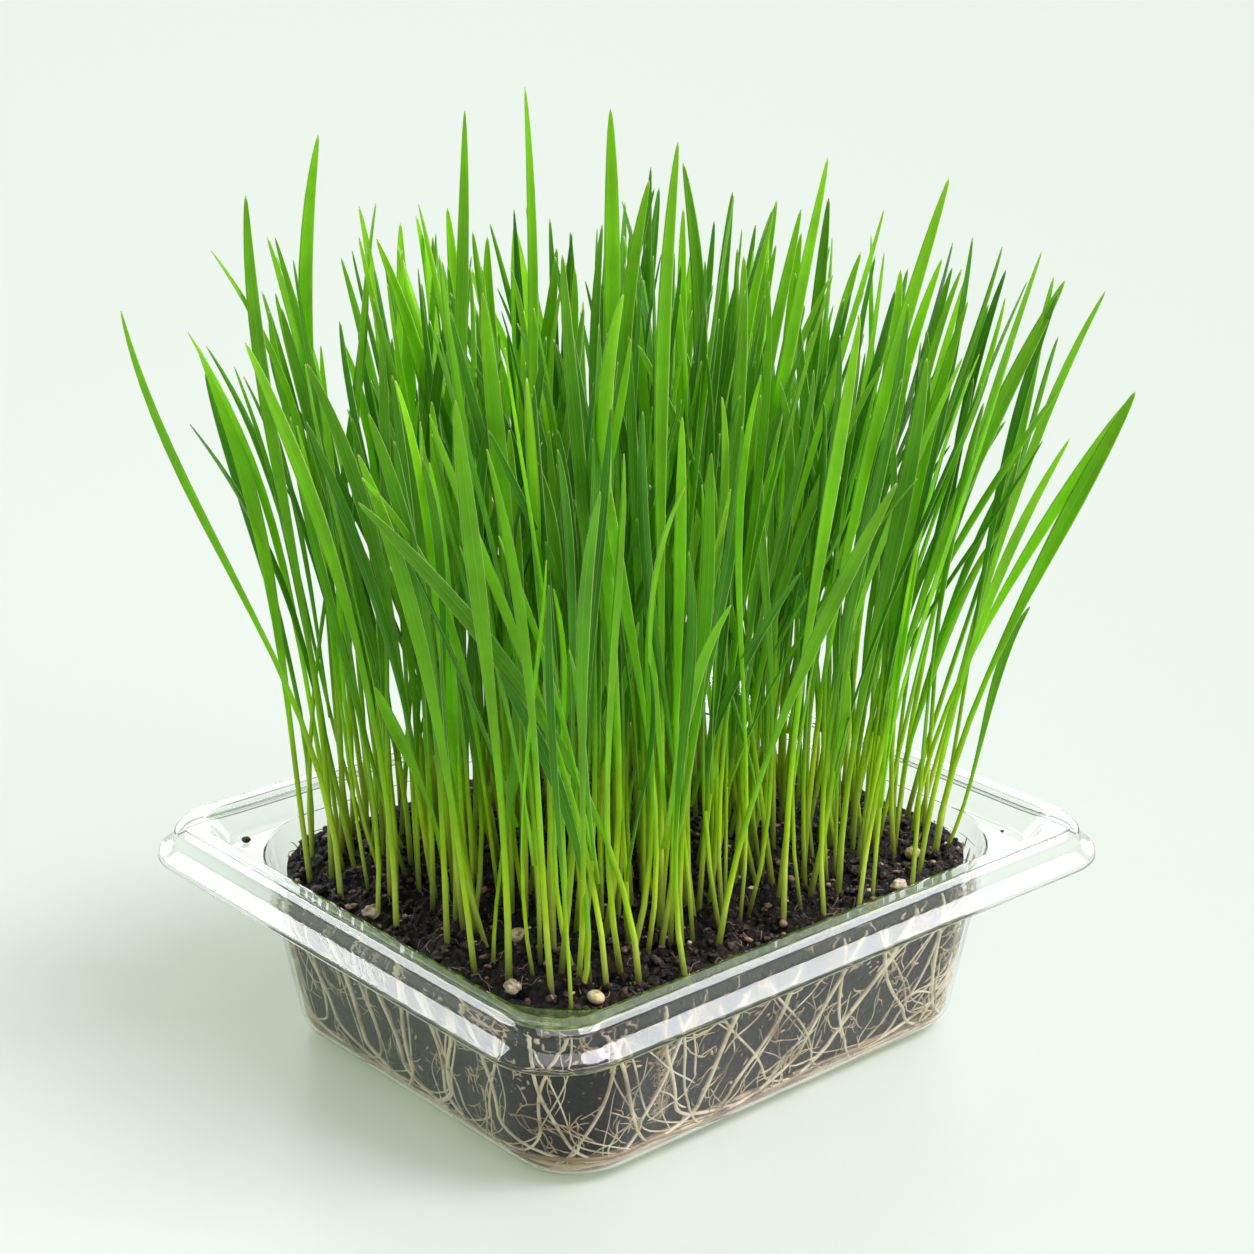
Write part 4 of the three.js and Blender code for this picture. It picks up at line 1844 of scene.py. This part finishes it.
@dataclass
class PlantStand:
    """The whole stand of shoots, made as one clump round each CAD plant."""

    soil: SoilBlock
    nodes: dict[str, bpy.types.Object]
    low: Vector
    high: Vector
    count: int = 350
    facing: float = -0.71
    spacing: float = 2.6
    front_spacing: float = 7.0
    front_depth: float = 18.0
    most_tries: int = 20000
    foot_band: float = 1.2
    tip_band: float = 0.4
    margin: float = 2.8
    spread_x: float = 0.058
    spread_y: float = 0.050
    tip_stray: float = 9.5
    second_share: float = 0.6
    second_above: float = 0.13
    second_reach: float = 12.0
    seed: int = 19
    clearings: tuple[tuple[float, float, float], ...] = (
        (-38, -14, 7.5), (-42.5, -18, 4), (-46, -22, 3.4), (-49.5, -26, 3.2), (-53, -30, 3.2),
        (-27, -41, 5.5), (3, -40, 5.5), (-51, 5, 5), (-54, 27, 3.5), (30, -41, 4),
    )
    storeys: tuple[Storey, ...] = (
        Storey(0.7, 140, 174, 15, 0.08, 0.42),
        Storey(0.93, 112, 145, 0, 0.02, 0.32),
        Storey(1.0, 80, 112, 0, 0.0, 0.15),
    )
    shape: ShootShape = field(default_factory=ShootShape)

    def cad_ends(self, node: bpy.types.Object) -> tuple[Vector, Vector]:
        """Returns a CAD plant's foot and its highest point.

        Args:
            node: The CAD plant.

        Returns:
            Foot and tip.
        """
        points = [v.co for v in node.data.vertices]
        low, high = min(p.z for p in points), max(p.z for p in points)
        ends = []
        for level, band in ((low, self.foot_band * MM), (high, self.tip_band * MM)):
            near = [p for p in points if abs(p.z - level) < band]
            ends.append(sum(near, Vector()) / len(near))
        return ends[0], ends[1]

    def feet(self, rng: random.Random, fixed: Sequence[Vector]) -> list[Vector]:
        """Spreads more feet over the soil, none too near another.

        Args:
            rng: The stream of random numbers.
            fixed: The CAD plants' feet.

        Returns:
            The added feet.
        """
        area = self.soil.outline(self.soil.top)
        taken = [Vector((p.x, p.y, 0)) for p in fixed]
        added: list[Vector] = []
        for _ in range(self.most_tries):
            if len(added) == self.count:
                break
            x, y = rng.uniform(-area.half_x, area.half_x), rng.uniform(-area.half_y, area.half_y)
            spot = Vector((x, y, 0))
            if area.distance(spot.x, spot.y) > -self.margin * MM or self.is_clear(spot):
                continue
            front = min(spot.x + area.half_x, spot.y + area.half_y) / (self.front_depth * MM)
            room = self.front_spacing + (self.spacing - self.front_spacing) * smooth_step(front)
            if all((spot - other).length > room * MM for other in taken):
                taken.append(spot)
                added.append(spot)
        return added

    def is_clear(self, spot: Vector) -> bool:
        """Tells whether a spot lies in one of the patches of bare soil."""
        return any(math.hypot(spot.x / MM - x, spot.y / MM - y) < radius for x, y, radius in self.clearings)

    def tip_over(self, rng: random.Random, foot: Vector) -> Vector:
        """Picks a tip for a foot: tips spread out from the middle and stand lower at the edge.

        Args:
            rng: The stream of random numbers.
            foot: The shoot's foot.

        Returns:
            The tip.
        """
        edge = max(abs(foot.x) / self.spread_x, abs(foot.y) / self.spread_y)
        chance = rng.random()
        storey = next(storey for storey in self.storeys if chance < storey.up_to)
        z = rng.uniform(storey.low, storey.high) - storey.edge_drop * edge
        spread = rng.uniform(storey.least_spread, storey.most_spread)
        x = foot.x * (1 + spread) + rng.gauss(0, self.tip_stray) * MM
        y = foot.y * (1 + spread) + rng.gauss(0, self.tip_stray) * MM
        return Vector((self.hold(x, 0), self.hold(y, 1), z * MM))

    def hold(self, value: float, axis: int) -> float:
        """Returns a tip's place along an axis, held inside the plants' CAD box."""
        return min(max(value, self.low[axis]), self.high[axis])

    def shoot(self, rng: random.Random, foot: Vector, tip: Vector, lead: bool = False) -> Shoot:
        """Gives a shoot its random turn, twist, width and tone.

        Args:
            rng: The stream of random numbers.
            foot: Where it leaves the soil.
            tip: Where it ends.
            lead: Whether it is one of the broad, bright, straighter ones.

        Returns:
            The shoot's course.
        """
        ground = self.soil.height(foot.x, foot.y) - 2 * MM
        stray, swing = (2.2, 0.35) if lead else (5.6, 1.1)
        return Shoot(
            foot=Vector((foot.x, foot.y, ground)),
            tip=tip,
            turn=rng.gauss(self.facing, swing),
            twist=rng.gauss(0, swing),
            width=(rng.uniform(2.5, 3.4) if lead else rng.triangular(1.4, 3.2, 2.1)) * MM,
            opening=rng.uniform(0.27, 0.42),
            bow=rng.gauss(0, 3.6) * MM,
            tone=rng.uniform(0.1, 0.75) if lead else rng.betavariate(0.75, 0.6),
            tilt=Vector((rng.gauss(0, stray), rng.gauss(0, stray), 0)) * MM,
        )

    def second_blade(self, rng: random.Random, first: Shoot) -> Shoot:
        """Plans a blade that leaves a shoot's sheath part way up.

        Args:
            rng: The stream of random numbers.
            first: The shoot it leaves.

        Returns:
            The second blade's course.
        """
        tip = first.tip + Vector((rng.gauss(0, 8), rng.gauss(0, 8), -rng.uniform(8, 36))) * MM
        tip.x, tip.y = self.hold(tip.x, 0), self.hold(tip.y, 1)
        return Shoot(
            foot=first.foot.copy(),
            tip=tip,
            turn=first.turn + rng.uniform(0.8, 2.0),
            twist=rng.gauss(0, 0.8),
            width=first.width * rng.uniform(0.7, 0.95),
            opening=max(first.opening * 0.8, 0.3),
            bow=rng.gauss(0, 2) * MM,
            tone=min(first.tone + 0.1, 1.0),
            tilt=first.tilt.copy(),
            start=0.28,
        )

    def grow_clump(
        self, rng: random.Random, name: str, shoots: Sequence[Shoot], material: bpy.types.Material
    ) -> None:
        """Models one plant's clump, with second blades on its taller inner shoots.

        Args:
            rng: The stream of random numbers.
            name: The CAD plant that the clump stands for.
            shoots: The clump's shoots.
            material: The leaf.
        """
        area = self.soil.outline(self.soil.top)
        bm = bmesh.new()
        for layer in ("along", "across", "tone"):
            bm.verts.layers.float.new(layer)
        for first in shoots:
            self.shape.grow(bm, first)
            inside = area.distance(first.tip.x, first.tip.y) < self.second_reach * MM
            if inside and first.tip.z > self.second_above and rng.random() < self.second_share:
                self.shape.grow(bm, self.second_blade(rng, first))
        finish_piece(bm, name.replace("plant", "clump"), [material], [name])

    def build(self, material: bpy.types.Material) -> None:
        """Plans every shoot, gives each to its nearest CAD plant, and models the clumps.

        Args:
            material: The leaf.
        """
        rng = random.Random(self.seed)
        names = sorted(name for name in self.nodes if name.startswith("plant_"))
        ends = {name: self.cad_ends(self.nodes[name]) for name in names}
        roots = {name: Vector((ends[name][0].x, ends[name][0].y, 0)) for name in names}
        clumps = {name: [self.shoot(rng, *ends[name], lead=True)] for name in names}
        for foot in self.feet(rng, [ends[name][0] for name in names]):
            home = min(names, key=lambda name: (roots[name] - foot).length)
            clumps[home].append(self.shoot(rng, foot, self.tip_over(rng, foot)))
        for name in names:
            self.grow_clump(rng, name, clumps[name], material)


# ---------------------------------------------------------------- studio


@dataclass(frozen=True)
class Sun:
    """A soft distant light: its place as the camera sees it, its strength and its angle in degrees."""

    name: str
    right: float
    back: float
    up: float
    strength: float
    spread: float
    colour: tuple[float, float, float] = (1.0, 1.0, 0.98)


@dataclass(frozen=True)
class Softbox:
    """A panel that only shows as a reflection: its place as the camera sees it and its size, in metres."""

    name: str
    right: float
    back: float
    up: float
    width: float
    height: float
    glow: float
    colour: tuple[float, float, float] = (0.95, 0.97, 1.0)


@dataclass
class Studio:
    """Pale floor, soft light and the camera."""

    heading: float = math.radians(40.79)
    elevation: float = math.radians(19.684)
    distance: float = 0.78455
    behind: float = 0.2390
    lens: float = 78.18
    sensor: float = 36.0
    floor_size: float = 30.0
    sky: Colour = (0.90, 1.0, 0.86, 1)
    sky_strength: float = 0.42
    suns: tuple[Sun, ...] = (
        Sun("key", 0.62, -0.08, 1.1, 2.8, 24, (1.0, 0.96, 1.0)),
        Sun("back", -0.1, 0.9, 0.9, 0.35, 40),
        Sun("side", 0.9, -0.7, 0.7, 0.6, 30),
    )
    softboxes: tuple[Softbox, ...] = (
        Softbox("strip_right", 0.74, 0.2, 0.78, 0.75, 0.6, 25.0),
        Softbox("strip_left", -0.84, 0.42, 0.76, 0.7, 0.5, 20.0),
        Softbox("strip_near", 0.0, -0.32, 0.95, 0.8, 0.35, 8.0),
        Softbox("back_wall", 0.0, 1.6, 0.46, 3.4, 0.9, 4.2),
    )
    lit_by_panels: bpy.types.Collection = field(
        default_factory=lambda: bpy.data.collections.new("lit_by_panels")
    )

    def place(self, right: float, back: float, up: float) -> Vector:
        """Turns a place as the camera sees it into the object's own axes.

        Args:
            right: How far to the camera's right.
            back: How far behind the object.
            up: How high.

        Returns:
            The place, in the same units.
        """
        side = Vector((math.cos(self.heading), -math.sin(self.heading), 0))
        forward = Vector((math.sin(self.heading), math.cos(self.heading), 0))
        return side * right + forward * back + Vector((0, 0, up))

    def place_camera(self) -> None:
        """Sets the camera round the tray's middle and makes it the scene's camera."""
        flat = self.distance * math.cos(self.elevation) - self.behind
        data = bpy.data.cameras.new("camera")
        data.lens = self.lens
        data.sensor_width = self.sensor
        data.clip_start = 0.02
        data.clip_end = 100.0
        camera = bpy.data.objects.new("camera", data)
        bpy.context.scene.collection.objects.link(camera)
        camera.location = self.place(0, -flat, self.distance * math.sin(self.elevation))
        look = self.place(0, math.cos(self.elevation), -math.sin(self.elevation))
        camera.rotation_mode = "QUATERNION"
        camera.rotation_quaternion = look.to_track_quat("-Z", "Y")
        bpy.context.scene.camera = camera

    def place_floor(self, material: bpy.types.Material) -> None:
        """Lays the floor under the tray, out of the softboxes' reach.

        Args:
            material: The floor's finish.
        """
        bm = bmesh.new()
        bmesh.ops.create_grid(bm, x_segments=1, y_segments=1, size=self.floor_size / 2)
        mesh = bpy.data.meshes.new("floor")
        bm.to_mesh(mesh)
        bm.free()
        mesh.materials.append(material)
        floor = bpy.data.objects.new("floor", mesh)
        bpy.context.scene.collection.objects.link(floor)
        floor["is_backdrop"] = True
        self.lit_by_panels.objects.link(floor)
        self.lit_by_panels.collection_objects[0].light_linking.link_state = "EXCLUDE"

    def hang(self, data: bpy.types.Light, place: Vector) -> bpy.types.Object:
        """Hangs a light at a place, turned towards the tray.

        Args:
            data: The light.
            place: Where it hangs, in metres.

        Returns:
            The light's object.
        """
        light = bpy.data.objects.new(data.name, data)
        light.rotation_mode = "QUATERNION"
        light.rotation_quaternion = place.to_track_quat("Z", "Y")
        light.location = place
        bpy.context.scene.collection.objects.link(light)
        return light

    def add_sun(self, sun: Sun) -> None:
        """Adds a soft distant light.

        Args:
            sun: The light.
        """
        data = bpy.data.lights.new(sun.name, "SUN")
        data.energy = sun.strength
        data.angle = math.radians(sun.spread)
        data.color = sun.colour
        self.hang(data, self.place(sun.right, sun.back, sun.up).normalized() * 2)

    def add_softbox(self, box: Softbox) -> None:
        """Adds a panel that shows in glossy surfaces only, and not in the floor.

        Args:
            box: The panel.
        """
        data = bpy.data.lights.new(box.name, "AREA")
        data.shape = "RECTANGLE"
        data.color = box.colour
        data.size = box.width
        data.size_y = box.height
        data.energy = box.glow * math.pi * box.width * box.height
        light = self.hang(data, self.place(box.right, box.back, box.up))
        light.visible_diffuse = False
        light.visible_camera = False
        light.visible_transmission = False
        light.light_linking.receiver_collection = self.lit_by_panels

    def light(self) -> None:
        """Adds the sky, the suns and the softboxes."""
        world = bpy.data.worlds.new("sky")
        world.use_nodes = True
        bpy.context.scene.world = world
        sky = world.node_tree.nodes["Background"]
        sky.inputs["Color"].default_value = self.sky
        sky.inputs["Strength"].default_value = self.sky_strength
        for sun in self.suns:
            self.add_sun(sun)
        for box in self.softboxes:
            self.add_softbox(box)
        view = bpy.context.scene.view_settings
        view.view_transform = "Standard"
        view.look = "None"


# ---------------------------------------------------------------- the whole object


def main() -> None:
    """Loads the frame, builds every piece and sets up the studio."""
    logging.basicConfig(level=logging.INFO, format="%(name)s %(message)s")
    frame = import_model()
    cad_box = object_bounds()
    low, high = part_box("tray")
    groups = Groups()

    studio = Studio()
    studio.place_camera()
    studio.place_floor(FloorFinish().make(groups))
    studio.light()

    tray = TraySheet(length=round((high.x - low.x) / MM, 2), width=round((high.y - low.y) / MM, 2))
    tray.build(ClearSheetFinish().make(groups))

    husk = GrainFinish("husk", (0.4, 0.25, 0.09, 1), (0.76, 0.63, 0.36, 1)).make(groups)
    perlite = GrainFinish("perlite", (0.26, 0.1, 0.055, 1), (0.76, 0.64, 0.46, 1), 420.0).make(groups)
    chip = GrainFinish("bark_chip", (0.06, 0.028, 0.018, 1), (0.36, 0.19, 0.13, 1)).make(groups)
    alga = GrainFinish("alga", (0.05, 0.12, 0.01, 1), (0.22, 0.34, 0.04, 1)).make(groups)
    dark = SoilFinish().make(groups)
    soil = SoilBlock(tray)
    soil.build(dark)
    LooseBits(soil).build([CrumbFinish().make(groups), chip, perlite, alga])
    for number, node in enumerate(sorted(n for n in frame["nodes"] if n.startswith(("grain", "perlite")))):
        Grain(node, number + 1, marked=node == "grain_1").build(husk if node.startswith("grain") else perlite)

    cream = RootFinish().make(groups)
    tan = RootFinish("root_tan", (0.22, 0.125, 0.065, 1), (0.58, 0.43, 0.27, 1)).make(groups)
    brown = RootFinish("root_brown", (0.1, 0.05, 0.024, 1), (0.3, 0.18, 0.1, 1)).make(groups)
    RootMat(tray).build(cream, tan, brown)
    Fibres(soil).build(brown)

    PlantStand(soil, frame["nodes"], *cad_box).build(LeafFinish().make(groups))
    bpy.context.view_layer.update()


if __name__ == "__main__":
    main()
